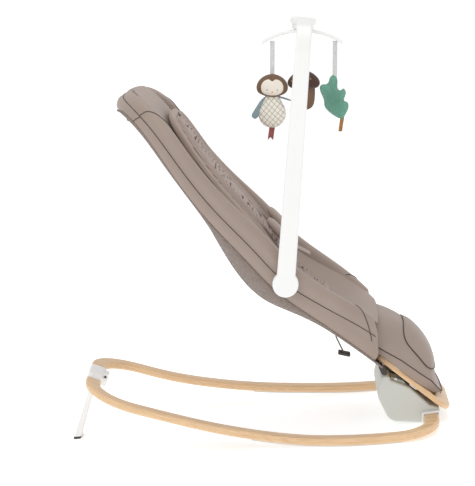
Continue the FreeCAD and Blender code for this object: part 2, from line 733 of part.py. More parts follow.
# ---- hip sockets for the toy bar -------------------------------------------------------------
cover_face_y = 206.0
socket_face_y = cover_face_y - 0.2
socket_inner_y = socket_face_y - socket_depth - cup_floor
cup = cross_cylinder(hub_x, hub_z, socket_outer_radius, socket_inner_y, socket_face_y)
clasp_centre = V(hip_x, hip_half_width, hip_z) + polar(back_angle) * 34.0
arm_plate = side_solid([(hub_x - 12, hub_z - 8), (hub_x + 12, hub_z - 8), (clasp_centre.x + 14, clasp_centre.z + 4),
                        (clasp_centre.x - 12, clasp_centre.z - 6)], 3, socket_inner_y, socket_inner_y + 8)
hip_socket = cup.fuse(arm_plate)
socket_bore = cross_cylinder(hub_x, hub_z, socket_bore_radius, socket_face_y - socket_depth, socket_face_y + 5)
hip_socket = hip_socket.cut(socket_bore).cut(frame_channel)
hip_socket = max(hip_socket.Solids, key=lambda s: s.Volume)

# ---- soft parts ------------------------------------------------------------------------------
def seat_plan(inset):
    """Prism over the seat's plan outline, drawn in by an inset all round."""
    pts = [(seat_outline_rear_x, 0.0)] + seat_outline_points + [(seat_outline_front_x, 0.0)]
    moved = []
    for i in range(1, len(pts) - 1):
        dx = pts[i + 1][0] - pts[i - 1][0]
        dy = pts[i + 1][1] - pts[i - 1][1]
        run = math.hypot(dx, dy)
        moved.append((pts[i][0] + dy / run * inset, pts[i][1] - dx / run * inset))
    half = [V(seat_outline_rear_x + inset, 0, 0)] + [V(x, y, 0) for x, y in moved]
    half.append(V(seat_outline_front_x - inset, 0, 0))
    other = [V(p.x, -p.y, 0) for p in half[1:-1]][::-1]
    curve = Part.BSplineCurve()
    curve.interpolate(half + other, PeriodicFlag=True)
    return Part.Face(Part.Wire(curve.toShape())).extrude(V(0, 0, 1000))


plan_outer = seat_plan(0)
plan_inner = seat_plan(cover_thickness)
plan_middle = seat_plan(cover_thickness + soft_gap)
plan_gusset = seat_plan(cover_thickness + soft_gap + 6)
plan_seat = seat_plan(cover_thickness + 2 * soft_gap + 6)

band_outline = [(-340, 700), (-314, 672), (-132, 452), (-51, 369), (57, 291), (104, 208), (95, 181),
                (47, 222), (-25, 270), (-101, 327), (-330, 606), (-356, 650)]
band_radii = [0, 30, 60, 60, 40, 20, 5, 60, 60, 60, 40, 0]
band = side_solid(band_outline, band_radii, -300, 300).common(plan_outer).cut(plan_inner)
band = band.cut(Part.makeBox(400, 800, 1200, V(head_split_x - 400, -400, 0)))
band = band.cut(Part.makeBox(1000, 160, 1200, V(-500, -80, 0)))
side_cover = band.common(Part.makeBox(1200, 400, 1200, V(-600, 0, 0)))
side_cover = side_cover.cut(frame_channel)
socket_clear = cross_cylinder(hub_x, hub_z, socket_outer_radius + soft_gap, 150, 300)
plate_clear = side_solid([(hub_x - 14, hub_z - 10), (hub_x + 14, hub_z - 10),
                          (clasp_centre.x + 16, clasp_centre.z + 6), (clasp_centre.x - 14, clasp_centre.z - 6)],
                         0, socket_inner_y - 60, socket_inner_y + 8 + soft_gap)
side_cover = side_cover.cut(socket_clear).cut(plate_clear)
side_cover = max(side_cover.Solids, key=lambda s: s.Volume)

head_outline = [(-428, 690), (-420, 720), (-392, 733), (-362, 724), (-336, 694), (-336, 634), (-352, 640),
                (-392, 668)]
head_cover = side_solid(head_outline, [10, 14, 16, 20, 0, 0, 10, 14], -300, 300).common(plan_outer)
head_cover = head_cover.cut(Part.makeBox(400, 800, 1200, V(head_split_x - soft_gap, -400, 0))).cut(frame_channel)
head_cover = max(head_cover.Solids, key=lambda s: s.Volume)
head_tab = rounded_box(16, 34, 20, 3, V(-401, 0, 655))

hull_points = [(-384, 645), (-309, 552), (-276, 476), (-134, 279), (-112, 247), (-85, 228), (-6, 209), (54, 172),
               (96, 158)]
under_cover = side_solid(thick_profile(hull_points, under_cover_thickness),
                         [0, 30, 40, 30, 25, 30, 60, 20, 0, 0, 20, 60, 30, 25, 30, 40, 30, 0],
                         -300, 300).common(plan_seat)
under_cover = under_cover.cut(head_cover)

gusset_outline = [(-318, 590), (-136, 362), (-104, 322), (-28, 264), (40, 220), (54, 190), (-6, 222), (-85, 242),
                  (-107, 262), (-130, 292), (-268, 484), (-303, 566)]
gusset = side_solid(gusset_outline, 0, 0, 300).common(plan_middle).cut(plan_gusset)
gusset = gusset.cut(under_cover)
gusset = max(gusset.Solids, key=lambda s: s.Volume)

liner_line = [(-322, 640), (-290, 634), (-262, 612), (-209, 537), (-150, 456), (-105, 388), (-60, 336), (-14, 312),
              (16, 291)]
liner_radii = [0, 12, 20, 80, 80, 80, 60, 40, 0, 0, 40, 60, 80, 80, 80, 20, 12, 0]
liner_plan = plan_solid([(-340, -110), (-340, 110), (-300, 140), (-60, 134), (40, 64), (40, -64), (-60, -134),
                         (-300, -140)], [40, 40, 60, 60, 60, 60, 60, 60], 0, 1000)
liner = side_solid(thick_profile(liner_line, liner_thickness), liner_radii, -300, 300).common(liner_plan)
sling_line = [(x - 2.5, z - 6.0) for x, z in liner_line[1:-1]]
seat_sling = side_solid(thick_profile(sling_line, sling_thickness), 0, -170, 170).common(plan_seat)
seat_sling = seat_sling.cut(frame_channel)

foot_outline = [(56, 286), (90, 262), (130, 258), (190, 218), (222, 190), (252, 140), (262, 98), (256, 80),
                (128, 179), (112, 200), (96, 226)]
foot_radii = [0, 10, 30, 30, 20, 30, 10, 6, 0, 6, 20]
foot_plan = plan_solid([(40, -150), (40, 150), (112, 128), (238, 100), (262, 40), (262, -40), (238, -100),
                        (112, -128)], [0, 0, 30, 20, 10, 10, 20, 30], 0, 1000)
foot_cover = side_solid(foot_outline, foot_radii, -300, 300).common(foot_plan)
board_solid = board_frame(board_body)
foot_channel = solid_rod(side_points[:3], frame_radii[:1], tube_radius + 4 + tube_channel_gap)
foot_cover = foot_cover.cut(board_frame(centred_box(240, 260, 40, V(board_length / 2, 0, -19))))
foot_cover = foot_cover.cut(foot_channel).cut(mirrored(foot_channel))
for clamp in clamps:
    foot_cover = foot_cover.cut(clamp)
foot_cover = max(foot_cover.Solids, key=lambda s: s.Volume)
for cover in (side_cover, mirrored(side_cover)):
    foot_cover = foot_cover.cut(cover)
foot_cover = max(foot_cover.Solids, key=lambda s: s.Volume)

toe_pocket_outline = [(150, 253), (192, 225), (226, 196), (247, 160), (238, 148), (200, 186), (170, 214)]
toe_plan = plan_solid([(120, -86), (120, 86), (252, 70), (252, -70)], [30, 30, 40, 40], 0, 1000)
toe_pocket = side_solid(toe_pocket_outline, [0, 0, 20, 0, 0, 20, 0], -300, 300).common(toe_plan)
foot_cover = foot_cover.cut(side_solid([(x, z - 1) for x, z in toe_pocket_outline], 0, -88, 88))
foot_cover = max(foot_cover.Solids, key=lambda s: s.Volume)


def seat_frame_point(x, lift):
    """Height of the liner's top line at x, raised by a lift."""
    for (x0, z0), (x1, z1) in zip(liner_line, liner_line[1:]):
        if x0 <= x <= x1:
            return z0 + (z1 - z0) * (x - x0) / (x1 - x0) + lift
    raise ValueError(x)


pad_line = [(x, seat_frame_point(x, pad_lift)) for x in pad_stations]
pad_outline = thick_profile(pad_line, pad_thickness)
waist_pad = side_solid(pad_outline, pad_corner, pad_inner_y, pad_outer_y)
strap_line = [(x, seat_frame_point(x, pad_lift)) for x in (-60.0, -38.0, -18.0)]
crotch_strap = side_solid(thick_profile(strap_line, 6.0), 0, -19, 19)
buckle_z = seat_frame_point(buckle_x, pad_lift + 8.0)
buckle_centre = V(buckle_x - 14, 0, buckle_z + 12)
buckle_body = to_frame(rounded_box(34, 42, 12, 3.5), buckle_lean, buckle_centre)
button_well = to_frame(Part.makeCylinder(9.4, 20, V(0, 0, button_well_floor)), buckle_lean, buckle_centre)
buckle_body = buckle_body.cut(button_well)
crotch_strap = crotch_strap.cut(buckle_body)
button_core = Part.makeCylinder(9.0, 5.5, V(0, 0, 2.6))
buckle_button = to_frame(button_core.makeFillet(1.2, [button_core.Edges[0]]), buckle_lean, buckle_centre)
tongue = to_frame(rounded_box(22, 14, 5, 1.5, V(0, 28.4, 0)), buckle_lean, buckle_centre)
buckle_tongues = Part.Compound([tongue, mirrored(tongue)])

# ---- recline lever and small pieces under the seat --------------------------------------------
lever_gap = 4.0
lever_axis = on_board(lever_row, 0, -board_thickness - lever_rod_radius - lever_gap)
lever_rod = cross_cylinder(lever_axis.x, lever_axis.z, lever_rod_radius, -lever_paddle_y, lever_paddle_y)
paddle = side_solid([(lever_axis.x - 7, lever_axis.z + 4), (lever_axis.x + 6, lever_axis.z + 1),
                     (lever_axis.x + 16, lever_axis.z - 16), (lever_axis.x + 3, lever_axis.z - 18)],
                    [3, 3, 4, 5], lever_paddle_y - lever_paddle_width / 2, lever_paddle_y + lever_paddle_width / 2)
recline_lever = lever_rod.fuse(paddle).fuse(mirrored(paddle))
hanger_height = 2 * lever_rod_radius + lever_gap + 2.5
hanger = centred_box(14, 8, hanger_height, V(lever_row, 80, -board_thickness - hanger_height / 2))
hanger = board_frame(hanger).cut(cross_cylinder(lever_axis.x, lever_axis.z, lever_rod_radius + running_clearance,
                                                -200, 200))
lever_hangers = Part.Compound([hanger, mirrored(hanger)])
adjuster = rounded_box(26, 22, 7, 2, V(0, 0, 0))
strap_adjuster = to_frame(adjuster, 12, V(52, -78, 163))

# ---- toy bar -----------------------------------------------------------------------------------
hub_inner_y = cover_face_y + hub_face_gap
hub_disc = cross_cylinder(hub_x, hub_z, toy_hub_radius, hub_inner_y, hub_inner_y + toy_hub_thickness)
hub_disc = hub_disc.makeFillet(2.0, [hub_disc.Edges[0], hub_disc.Edges[2]])
hub_pin = cross_cylinder(hub_x, hub_z, socket_bore_radius - running_clearance,
                         socket_face_y - socket_depth + 1.0, hub_inner_y + 1)
toy_hub = mirrored(hub_disc.fuse(hub_pin))
arm_y = 224.0 - arm_thickness
arm_direction = polar(90 - arm_lean)
arm_side = V(arm_direction.z, 0, -arm_direction.x)
hub_centre = V(hub_x, 0, hub_z)
arm_height = (arm_top_z - arm_thickness - arm_bend_radius - hub_z) / arm_direction.z


def arm_section(distance, width):
    """Rounded section of the arm square to it, at a distance above the hub."""
    centre = hub_centre + arm_direction * distance
    corners = [centre + arm_side * (width / 2 * side) + V(0, -y, 0)
               for side, y in ((-1, arm_y), (1, arm_y), (1, arm_y + arm_thickness), (-1, arm_y + arm_thickness))]
    return rounded_wire(corners, [4.0] * 4, closed=True)


arm_post = Part.makeLoft([arm_section(0, arm_width_low), arm_section(arm_height, arm_width_high)], True, True)
bend_axis_point = hub_centre + arm_direction * arm_height + V(0, -arm_y + arm_bend_radius, 0)
arm_bend = Part.Face(arm_section(arm_height, arm_width_high)).revolve(bend_axis_point, arm_side, -90)
arm_reach = arm_y - arm_bend_radius
bend_end = bend_axis_point + arm_direction * arm_bend_radius
reach_face = Part.Face(arm_section(arm_height, arm_width_high))
reach_face.rotate(bend_axis_point, arm_side, -90)
arm_beam = reach_face.extrude(V(0, arm_reach, 0))
cap_centre = bend_end + V(0, arm_reach, 0) + arm_direction * (arm_thickness / 2)
arm_disc = Part.makeCylinder(cap_radius, arm_thickness, cap_centre - arm_direction * (arm_thickness / 2),
                             arm_direction)
arm_disc = arm_disc.makeFillet(3.0, [arm_disc.Edges[0]])
spindle_radius = 5.0
arm_low_end = cross_cylinder(hub_x, hub_z, toy_hub_radius, -arm_y - arm_thickness, -arm_y)
arm_low_end = arm_low_end.makeFillet(3.0, [arm_low_end.Edges[2]])
toy_arm = arm_post.fuse(arm_bend).fuse(arm_beam).fuse(arm_disc).fuse(arm_low_end)
cap_under = cap_centre - arm_direction * (arm_thickness / 2)
toy_arm = toy_arm.cut(Part.makeCylinder(spindle_radius + running_clearance, arm_thickness - 3,
                                        cap_under - arm_direction, arm_direction))
cap_gap = 0.6
swivel_top = cap_under - arm_direction * cap_gap
swivel_cap = Part.makeCylinder(cap_radius - 4, cap_height, swivel_top - arm_direction * cap_height, arm_direction)
swivel_cap = swivel_cap.makeFillet(3.0, [swivel_cap.Edges[2]])
spindle = Part.makeCylinder(spindle_radius, arm_thickness - 6, swivel_top - arm_direction, arm_direction)
swivel_cap = swivel_cap.fuse(spindle)

bow_top = swivel_top - arm_direction * cap_height
bow_radius = (bow_half_span ** 2 + bow_drop ** 2) / (2 * bow_drop)
bow_centre = V(bow_top.x, 0, bow_top.z - bow_radius + 0.2)
bow_ring = cross_cylinder(bow_centre.x, bow_centre.z, bow_radius, -bow_width / 2, bow_width / 2)
bow_ring = bow_ring.cut(cross_cylinder(bow_centre.x, bow_centre.z, bow_radius - bow_height, -50, 50))
bow_clip = Part.makeBox(2 * bow_half_span, 100, 120, V(bow_top.x - bow_half_span, -50, bow_top.z - 100))
mobile_bow = bow_ring.common(bow_clip)
mobile_bow = mobile_bow.makeFillet(2.5, [e for e in mobile_bow.Edges if e.BoundBox.YLength < 0.01
                                         and e.Length > bow_half_span])
mobile_bow = mobile_bow.cut(swivel_cap)


def bow_underside(x):
    """Height of the bow's lower face at x."""
    inner = bow_radius - bow_height
    return bow_centre.z + math.sqrt(inner ** 2 - (x - bow_centre.x) ** 2)


def ellipsoid(x, y, z, rx, ry, rz):
    """Closed ellipsoid by stretching a ball."""
    stretch = FreeCAD.Matrix()
    stretch.scale(rx, ry, rz)
    body = Part.makeSphere(1.0).transformGeometry(stretch)
    body.translate(V(x, y, z))
    return body


def webbing(x, z_low):
    """Flat strap from the bow down to a toy, hanging just below the bow."""
    top = min(bow_underside(x - strap_width / 2), bow_underside(x + strap_width / 2)) - 0.5
    return Part.makeBox(strap_width, strap_thickness, top - z_low, V(x - strap_width / 2, -strap_thickness / 2, z_low))


owl_x = bow_top.x - toy_pitch
leaf_x = bow_top.x + toy_pitch
owl_head = ellipsoid(owl_x, 0, 717, 30, 17, 28)
owl_body = ellipsoid(owl_x - 1, 0, 668, 29, 18, 38)
owl_toy = owl_head.fuse(owl_body).fuse(webbing(owl_x, 740))
mushroom_cap = ellipsoid(bow_top.x, 0, 724, 31, 20, 26)
mushroom_stem = ellipsoid(bow_top.x + 2, 0, 690, 14, 12, 24)
mushroom_toy = mushroom_cap.fuse(mushroom_stem).fuse(webbing(bow_top.x, 745))
leaf_body = ellipsoid(leaf_x + 3, 0, 697, 29, 12, 47)
leaf_toy = leaf_body.fuse(webbing(leaf_x, 738))

# ---- gather the pieces, stand them on the floor and write them ---------------------------------
nodes = {
    "rear_bridge": rear_bridge, "bridge_screws": Part.Compound(rear_screws),
    "kickstand_latch": kickstand_latch, "kickstand": kickstand, "kickstand_pin": kickstand_pin,
    "kickstand_pad": kickstand_pad, "housing_shell": housing_shell, "housing_cap": housing_cap,
    "housing_base_plate": housing_base_plate, "housing_screws": housing_screws, "pivot_axle": pivot_axle,
    "axle_clips": axle_clips, "bounce_springs": bounce_springs, "bump_stop": bump_stop,
    "cradle": cradle, "cradle_bushes": cradle_bushes, "board_bracket": board_frame(bracket),
    "bracket_bushes": bracket_bushes, "board": board_solid,
    "board_screws": Part.Compound([board_frame(s) for s in board_screw_list]),
    "recline_lever": recline_lever, "lever_hangers": lever_hangers, "strap_adjuster": strap_adjuster,
    "head_tube": head_tube, "tube_clamps": tube_clamps, "head_cover": head_cover, "head_tab": head_tab,
    "seat_sling": seat_sling, "under_cover": under_cover, "foot_cover": foot_cover,
    "toe_pocket": toe_pocket, "liner": liner, "crotch_strap": crotch_strap, "buckle_body": buckle_body,
    "buckle_tongues": buckle_tongues, "buckle_button": buckle_button, "toy_hub": toy_hub,
    "toy_arm": toy_arm, "swivel_cap": swivel_cap, "mobile_bow": mobile_bow, "owl_toy": owl_toy,
    "mushroom_toy": mushroom_toy, "leaf_toy": leaf_toy,
}
paired = {
    "rocker": rocker, "anti_slip": anti_slip, "collar": collar, "side_tube": side_tube,
    "hip_socket": hip_socket, "side_cover": side_cover, "gusset": gusset, "waist_pad": waist_pad,
}
for name, shape in paired.items():
    nodes[name + "_left"] = shape
    nodes[name + "_right"] = mirrored(shape)

turn = FreeCAD.Rotation(V(0, 1, 0), stand_angle)
placed = {}
for name, shape in nodes.items():
    copy = shape.copy()
    copy.rotate(V(0, 0, 0), V(0, 1, 0), stand_angle)
    copy.translate(V(0, 0, floor_rise))
    placed[name] = copy
boxes = [shape.optimalBoundingBox(False) for shape in placed.values()]
x_shift = -(min(b.XMin for b in boxes) + max(b.XMax for b in boxes)) / 2

os.makedirs("parts", exist_ok=True)
for name, shape in placed.items():
    shape.translate(V(x_shift, 0, 0))
    shape.exportStep("parts/" + name + ".step")
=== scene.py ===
"""Soft cover, toys, finishes and stage for a bent wood baby bouncer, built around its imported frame."""

import math

import bmesh
import bpy
import numpy as np
from bpy.props import FloatProperty, FloatVectorProperty, PointerProperty
from mathutils import Matrix, Vector


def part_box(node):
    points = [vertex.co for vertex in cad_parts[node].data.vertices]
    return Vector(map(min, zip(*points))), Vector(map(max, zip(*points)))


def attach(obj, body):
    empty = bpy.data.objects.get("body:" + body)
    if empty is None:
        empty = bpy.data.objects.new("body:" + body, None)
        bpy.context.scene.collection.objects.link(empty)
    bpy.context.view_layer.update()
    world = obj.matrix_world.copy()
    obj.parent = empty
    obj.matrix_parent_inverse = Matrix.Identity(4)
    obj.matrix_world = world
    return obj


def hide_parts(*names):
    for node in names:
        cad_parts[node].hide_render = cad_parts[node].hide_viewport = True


bl_info = {
    "name": "Baby Bouncer",
    "version": (1, 0, 0),
    "blender": (4, 5, 0),
    "location": "3D View > Sidebar > Bouncer",
    "description": "Makes the soft cover, toys and finishes of a bent wood baby bouncer",
    "category": "Add Mesh",
}

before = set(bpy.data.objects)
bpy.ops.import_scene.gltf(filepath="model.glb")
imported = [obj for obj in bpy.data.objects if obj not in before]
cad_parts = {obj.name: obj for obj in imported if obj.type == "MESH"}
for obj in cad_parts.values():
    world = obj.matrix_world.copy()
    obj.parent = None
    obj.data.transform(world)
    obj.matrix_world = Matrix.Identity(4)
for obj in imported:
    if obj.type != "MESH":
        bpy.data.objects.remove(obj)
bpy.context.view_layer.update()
MM = 0.001

# The seat is laid out with its rockers level, then tipped to stand on the prop leg.
STAND_ANGLE = math.radians(4.474927)
FLOOR_RISE = 4.496430
LENGTH_SHIFT = 125.332961

# Stations of the padded rim, from the crown of the head end to the cuff at the knees, on one side:
# place x, y, z of the rim's seam, lean of the seat's face from +X in degrees, how far the rim stands above
# and below the seam, how deep the underside hangs, where the inner floor lies, and half the rim's thickness.
RIM = np.array([
    (-414, 0, 700, 37, 27, 24, 28, 27, 15),
    (-408, 62, 698, 37, 28, 24, 28, 27, 15),
    (-388, 122, 688, 37, 30, 22, 28, 26, 14),
    (-348, 166, 652, 37, 31, 21, 28, 22, 13),
    (-296, 190, 586, 38, 30, 23, 28, 16, 13),
    (-220, 202, 492, 41, 33, 27, 33, 12, 15),
    (-137, 206, 407, 44, 37, 30, 66, 4, 17),
    (-70, 206, 339, 51, 37, 30, 67, -8, 17),
    (-21, 203, 306, 57, 34, 33, 52, -14, 17),
    (44, 185, 266, 61, 32, 40, 46, -5, 17),
    (78, 166, 243, 60, 31, 46, 50, 16, 17),
    (108, 142, 219, 57, 30, 50, 54, 32, 15),
], float)

# Board: its top edge and slope, for everything laid on it, and the rockers' bend radius.
BOARD_TOP = (122.0, 171.0)
BEND_RADIUS = 1475.0
BOARD_SLOPE = math.radians(38.0)


# ---- sizes and colours ------------------------------------------------------------------------
class BouncerSizes(bpy.types.PropertyGroup):
    thread: FloatProperty(name="Thread", description="Radius of the sewn seam threads", default=0.0008,
                          subtype="DISTANCE", unit="LENGTH")
    piping: FloatProperty(name="Piping", description="Radius of the piped edges", default=0.0024,
                          subtype="DISTANCE", unit="LENGTH")
    quilt: FloatProperty(name="Quilt height", description="Height of the liner's sewn ridges", default=0.0030,
                         subtype="DISTANCE", unit="LENGTH")
    ridge: FloatProperty(name="Ridge spacing", description="Spacing of the liner's sewn ridges", default=0.0105,
                         subtype="DISTANCE", unit="LENGTH")
    liner_thickness: FloatProperty(name="Liner", description="Thickness of the padded liner", default=0.019,
                                   subtype="DISTANCE", unit="LENGTH")


def colour(name, text, value):
    """A colour setting with its default."""
    return FloatVectorProperty(name=name, description=text, default=value, size=3, subtype="COLOR", min=0, max=1)


class BouncerColours(bpy.types.PropertyGroup):
    taupe: colour("Taupe", "Coated cloth of the seat", (0.335, 0.262, 0.222))
    liner: colour("Liner", "Embroidered liner", (0.345, 0.262, 0.222))
    knit: colour("Knit", "Knitted side panels", (0.33, 0.265, 0.235))
    # Also the dark lines that paint the shade in the liner's valleys and in the toe pocket's slit.
    thread: colour("Thread", "Seam thread", (0.085, 0.058, 0.048))
    wood: colour("Wood", "Light bands of the bent wood", (0.80, 0.56, 0.33))
    wood_dark: colour("Wood grain", "Dark lines of the bent wood", (0.56, 0.34, 0.17))
    white: colour("White", "White moulded plastic", (0.86, 0.86, 0.85))
    grey: colour("Housing", "Pale grey moulded housing", (0.62, 0.64, 0.60))
    dark: colour("Dark", "Dark moulded plastic", (0.045, 0.038, 0.033))
    tab: colour("Tab", "Webbing tab at the head", (0.17, 0.165, 0.115))
    owl: colour("Owl", "Owl's brown cloth", (0.19, 0.115, 0.075))
    cream: colour("Cream", "Owl's cream cloth", (0.86, 0.80, 0.70))
    wing: colour("Wing", "Owl's blue grey wings", (0.25, 0.33, 0.36))
    leaf: colour("Leaf", "Green leaf cloth", (0.19, 0.47, 0.35))
    mushroom: colour("Mushroom", "Dark brown cap", (0.085, 0.045, 0.035))
    ribbon: colour("Ribbon", "Rose ribbon", (0.42, 0.135, 0.13))
    tag: colour("Tag", "Amber ribbon", (0.48, 0.24, 0.085))


# ---- curves and places ------------------------------------------------------------------------
def natural_cubic(knots, values, at):
    """Cubic pieces through values at knots, with equal slope and bend where they meet and no bend at the ends."""
    knots = np.asarray(knots, float)
    values = np.asarray(values, float).reshape(len(knots), -1)
    gap = np.diff(knots)
    slope = np.diff(values, axis=0) / gap[:, None]
    inner = np.arange(1, len(knots) - 1)
    matrix = np.eye(len(knots))
    matrix[inner, inner - 1] = gap[:-1]
    matrix[inner, inner] = 2 * (gap[:-1] + gap[1:])
    matrix[inner, inner + 1] = gap[1:]
    right = np.zeros_like(values)
    right[inner] = 6 * (slope[1:] - slope[:-1])
    bend = np.linalg.solve(matrix, right)
    at = np.asarray(at, float)
    i = np.clip(np.searchsorted(knots, at, side="right") - 1, 0, len(knots) - 2)
    h = gap[i][:, None]
    a = (knots[i + 1] - at)[:, None]
    b = (at - knots[i])[:, None]
    low = (bend[i] * a ** 3 + bend[i + 1] * b ** 3) / (6 * h)
    return low + (values[i] / h - bend[i] * h / 6) * a + (values[i + 1] / h - bend[i + 1] * h / 6) * b


def curve_through(points, count):
    """A smooth curve through points, as count points at even steps of chord length."""
    points = np.asarray(points, float)
    chord = np.concatenate(([0], np.cumsum(np.linalg.norm(np.diff(points, axis=0), axis=1))))
    return natural_cubic(chord, points, np.linspace(0, chord[-1], count))


def bulge(value, power):
    """Signed power: keeps the sign and bends the size, for boxy or pointed rounds."""
    return np.sign(value) * np.abs(value) ** power


def stand(points):
    """Level layout in millimetres to the standing frame in metres: a turn about Y, a rise and a shift."""
    points = np.asarray(points, float)
    c, s = math.cos(STAND_ANGLE), math.sin(STAND_ANGLE)
    x = points[..., 0] * c + points[..., 2] * s + LENGTH_SHIFT
    z = -points[..., 0] * s + points[..., 2] * c + FLOOR_RISE
    return np.stack([x, points[..., 1], z], axis=-1) * MM


def on_board(along, across, height):
    """Level layout place of a point given along, across and above the board."""
    c, s = math.cos(BOARD_SLOPE), math.sin(BOARD_SLOPE)
    along, across, height = np.broadcast_arrays(along, across, height)
    return np.stack([BOARD_TOP[0] + along * c + height * s, across, BOARD_TOP[1] - along * s + height * c], axis=-1)


RIM_RUN = np.concatenate(([0], np.cumsum(np.linalg.norm(np.diff(RIM[:, :3], axis=0), axis=1))))
MIRRORED = RIM[:0:-1] * np.array([1, -1, 1, 1, 1, 1, 1, 1, 1])
FULL_RIM = np.concatenate((MIRRORED, RIM))
FULL_RUN = np.concatenate((-RIM_RUN[:0:-1], RIM_RUN))
RUN_END = RIM_RUN[-1]


def rim(run):
    """All rim values at distances from the crown, negative on the near side."""
    return natural_cubic(FULL_RUN, FULL_RIM, run)


def face_normal(values):
    """Direction out of the seat's face at rim values, from their lean."""
    lean = np.radians(values[:, 3])
    return np.stack([np.cos(lean), np.zeros(len(lean)), np.sin(lean)], axis=-1)


def cuff_shift(run, height):
    """How far the last stretch of the seat goes on past its end: it is cut on a slant, long underneath."""
    near_end = np.clip((np.abs(run) - (RUN_END - 110)) / 110, 0, 1) ** 2
    return near_end * np.maximum(20 - 0.8 * height, 0)


def rim_out(run, normal):
    """Direction out of the rim's side, square to its line and to the face's normal."""
    step = 0.5
    ahead = rim(run + step)[:, :3] - rim(run - step)[:, :3]
    out = np.cross(normal, ahead)
    return out / np.linalg.norm(out, axis=1)[:, None]


def slide(values, distance):
    """Move down the seat's slope, square to the face's normal."""
    normal = face_normal(values)
    return np.stack([normal[:, 2], 0 * distance, -normal[:, 0]], axis=-1) * distance[:, None]


def roll_point(run, phi, lift=0.0):
    """Rim surface: a boxy round section about the rim's line. phi 0 faces outwards, 90 degrees the seat's face."""
    run, phi = np.broadcast_arrays(np.asarray(run, float), np.asarray(phi, float))
    flat = run.ravel()
    values = rim(flat)
    angle = phi.ravel()
    end = np.clip((RUN_END - np.abs(flat)) / 14.0, 0, 1)
    end = np.sqrt(1 - (1 - end) ** 2)
    centre = (values[:, 4] - values[:, 5]) / 2
    tall = (values[:, 4] + values[:, 5]) / 2 * (0.55 + 0.45 * end)
    thick = values[:, 8] * end
    sideways = thick * bulge(np.cos(angle), 0.62) + lift * np.cos(angle)
    upward = centre + tall * bulge(np.sin(angle), 0.72) * end + lift * np.sin(angle)
    swell = 2.2 * np.sin(np.pi * np.clip((upward - centre) / np.maximum(tall, 1), -1, 1)) ** 2 * (np.cos(angle) > 0)
    inset = sideways + swell - values[:, 8]
    normal = face_normal(values)
    place = values[:, :3] + rim_out(flat, normal) * inset[:, None] + normal * upward[:, None]
    place += slide(values, cuff_shift(flat, upward))
    return place.reshape(run.shape + (3,))


def roll_angle(run, height):
    """The angle round the rim's section at which its outer face is a given height above the seam."""
    values = rim(np.asarray(run, float))
    centre = (values[:, 4] - values[:, 5]) / 2
    tall = (values[:, 4] + values[:, 5]) / 2
    return np.arcsin(bulge(np.clip((height - centre) / tall, -1, 1), 1 / 0.72))


def inner_half_width(values):
    """Half width of the hollow inside the rim, shrinking smoothly to nothing at the crown."""
    y = np.abs(values[:, 1])
    return y * y / (y + 1.4 * values[:, 8])


def floor_point(run, across, lift=0.0):
    """Seat's inner face: at each run the floor curves up to the rim as the 2.6th power of the way across."""
    run, across = np.broadcast_arrays(np.asarray(run, float), np.asarray(across, float))
    values = rim(run.ravel())
    t = across.ravel()
    edge = values[:, 4] - np.interp(run.ravel(), (100, 230, 640, 760), (3, 15, 15, 6))
    steep = np.interp(run.ravel(), (100, 230, 640, 760), (2.6, 5, 5, 2.6))
    height = values[:, 7] + (edge - values[:, 7]) * np.abs(t) ** steep + lift
    place = values[:, :3] * np.array([1, 0, 1]) + face_normal(values) * height[:, None]
    place[:, 1] = t * inner_half_width(values)
    return place.reshape(run.shape + (3,))


def hull_point(run, theta, lift=0.0):
    """Underside: a boxy half round from one rim's lower edge (0) to the other (pi), as deep as the station says."""
    run, theta = np.broadcast_arrays(np.asarray(run, float), np.asarray(theta, float))
    values = rim(run.ravel())
    angle = theta.ravel()
    half = np.abs(values[:, 1])
    half = half * half / (half + 6)
    start = values[:, 5] - 4
    deep = start + (values[:, 6] - start) * bulge(np.sin(angle), 0.75) + lift
    normal = face_normal(values)
    place = values[:, :3] * np.array([1, 0, 1]) - normal * deep[:, None]
    tuck = 26 * np.clip(1 - np.abs(run.ravel()) / 170, 0, 1) ** 2
    place += slide(values, tuck + cuff_shift(run.ravel(), -deep))
    place[:, 1] = half * bulge(np.cos(angle), 0.6)
    return place.reshape(run.shape + (3,))


# ---- meshes -----------------------------------------------------------------------------------
def grid_faces(rows, columns, close_rows, close_columns):
    """Corner indices of the quads of a grid, wrapped where it is closed."""
    i = np.arange(rows if close_rows else rows - 1)
    j = np.arange(columns if close_columns else columns - 1)
    i, j = np.meshgrid(i, j, indexing="ij")
    i, j = i.ravel(), j.ravel()
    i2, j2 = (i + 1) % rows, (j + 1) % columns
    corners = np.stack([i * columns + j, i2 * columns + j, i2 * columns + j2, i * columns + j2], axis=1)
    places = np.stack([np.stack([i, j], 1), np.stack([i + 1, j], 1), np.stack([i + 1, j + 1], 1),
                       np.stack([i, j + 1], 1)], axis=1)
    return corners, places


def tidy_mesh(mesh, outward=True):
    """Merge doubled points, drop faces with no area and point the faces outwards."""
    work = bmesh.new()
    work.from_mesh(mesh)
    bmesh.ops.remove_doubles(work, verts=work.verts, dist=2e-6)
    bmesh.ops.dissolve_degenerate(work, edges=work.edges, dist=1e-7)
    if outward:
        bmesh.ops.recalc_face_normals(work, faces=work.faces)
    work.to_mesh(mesh)
    work.free()
    mesh.shade_smooth()


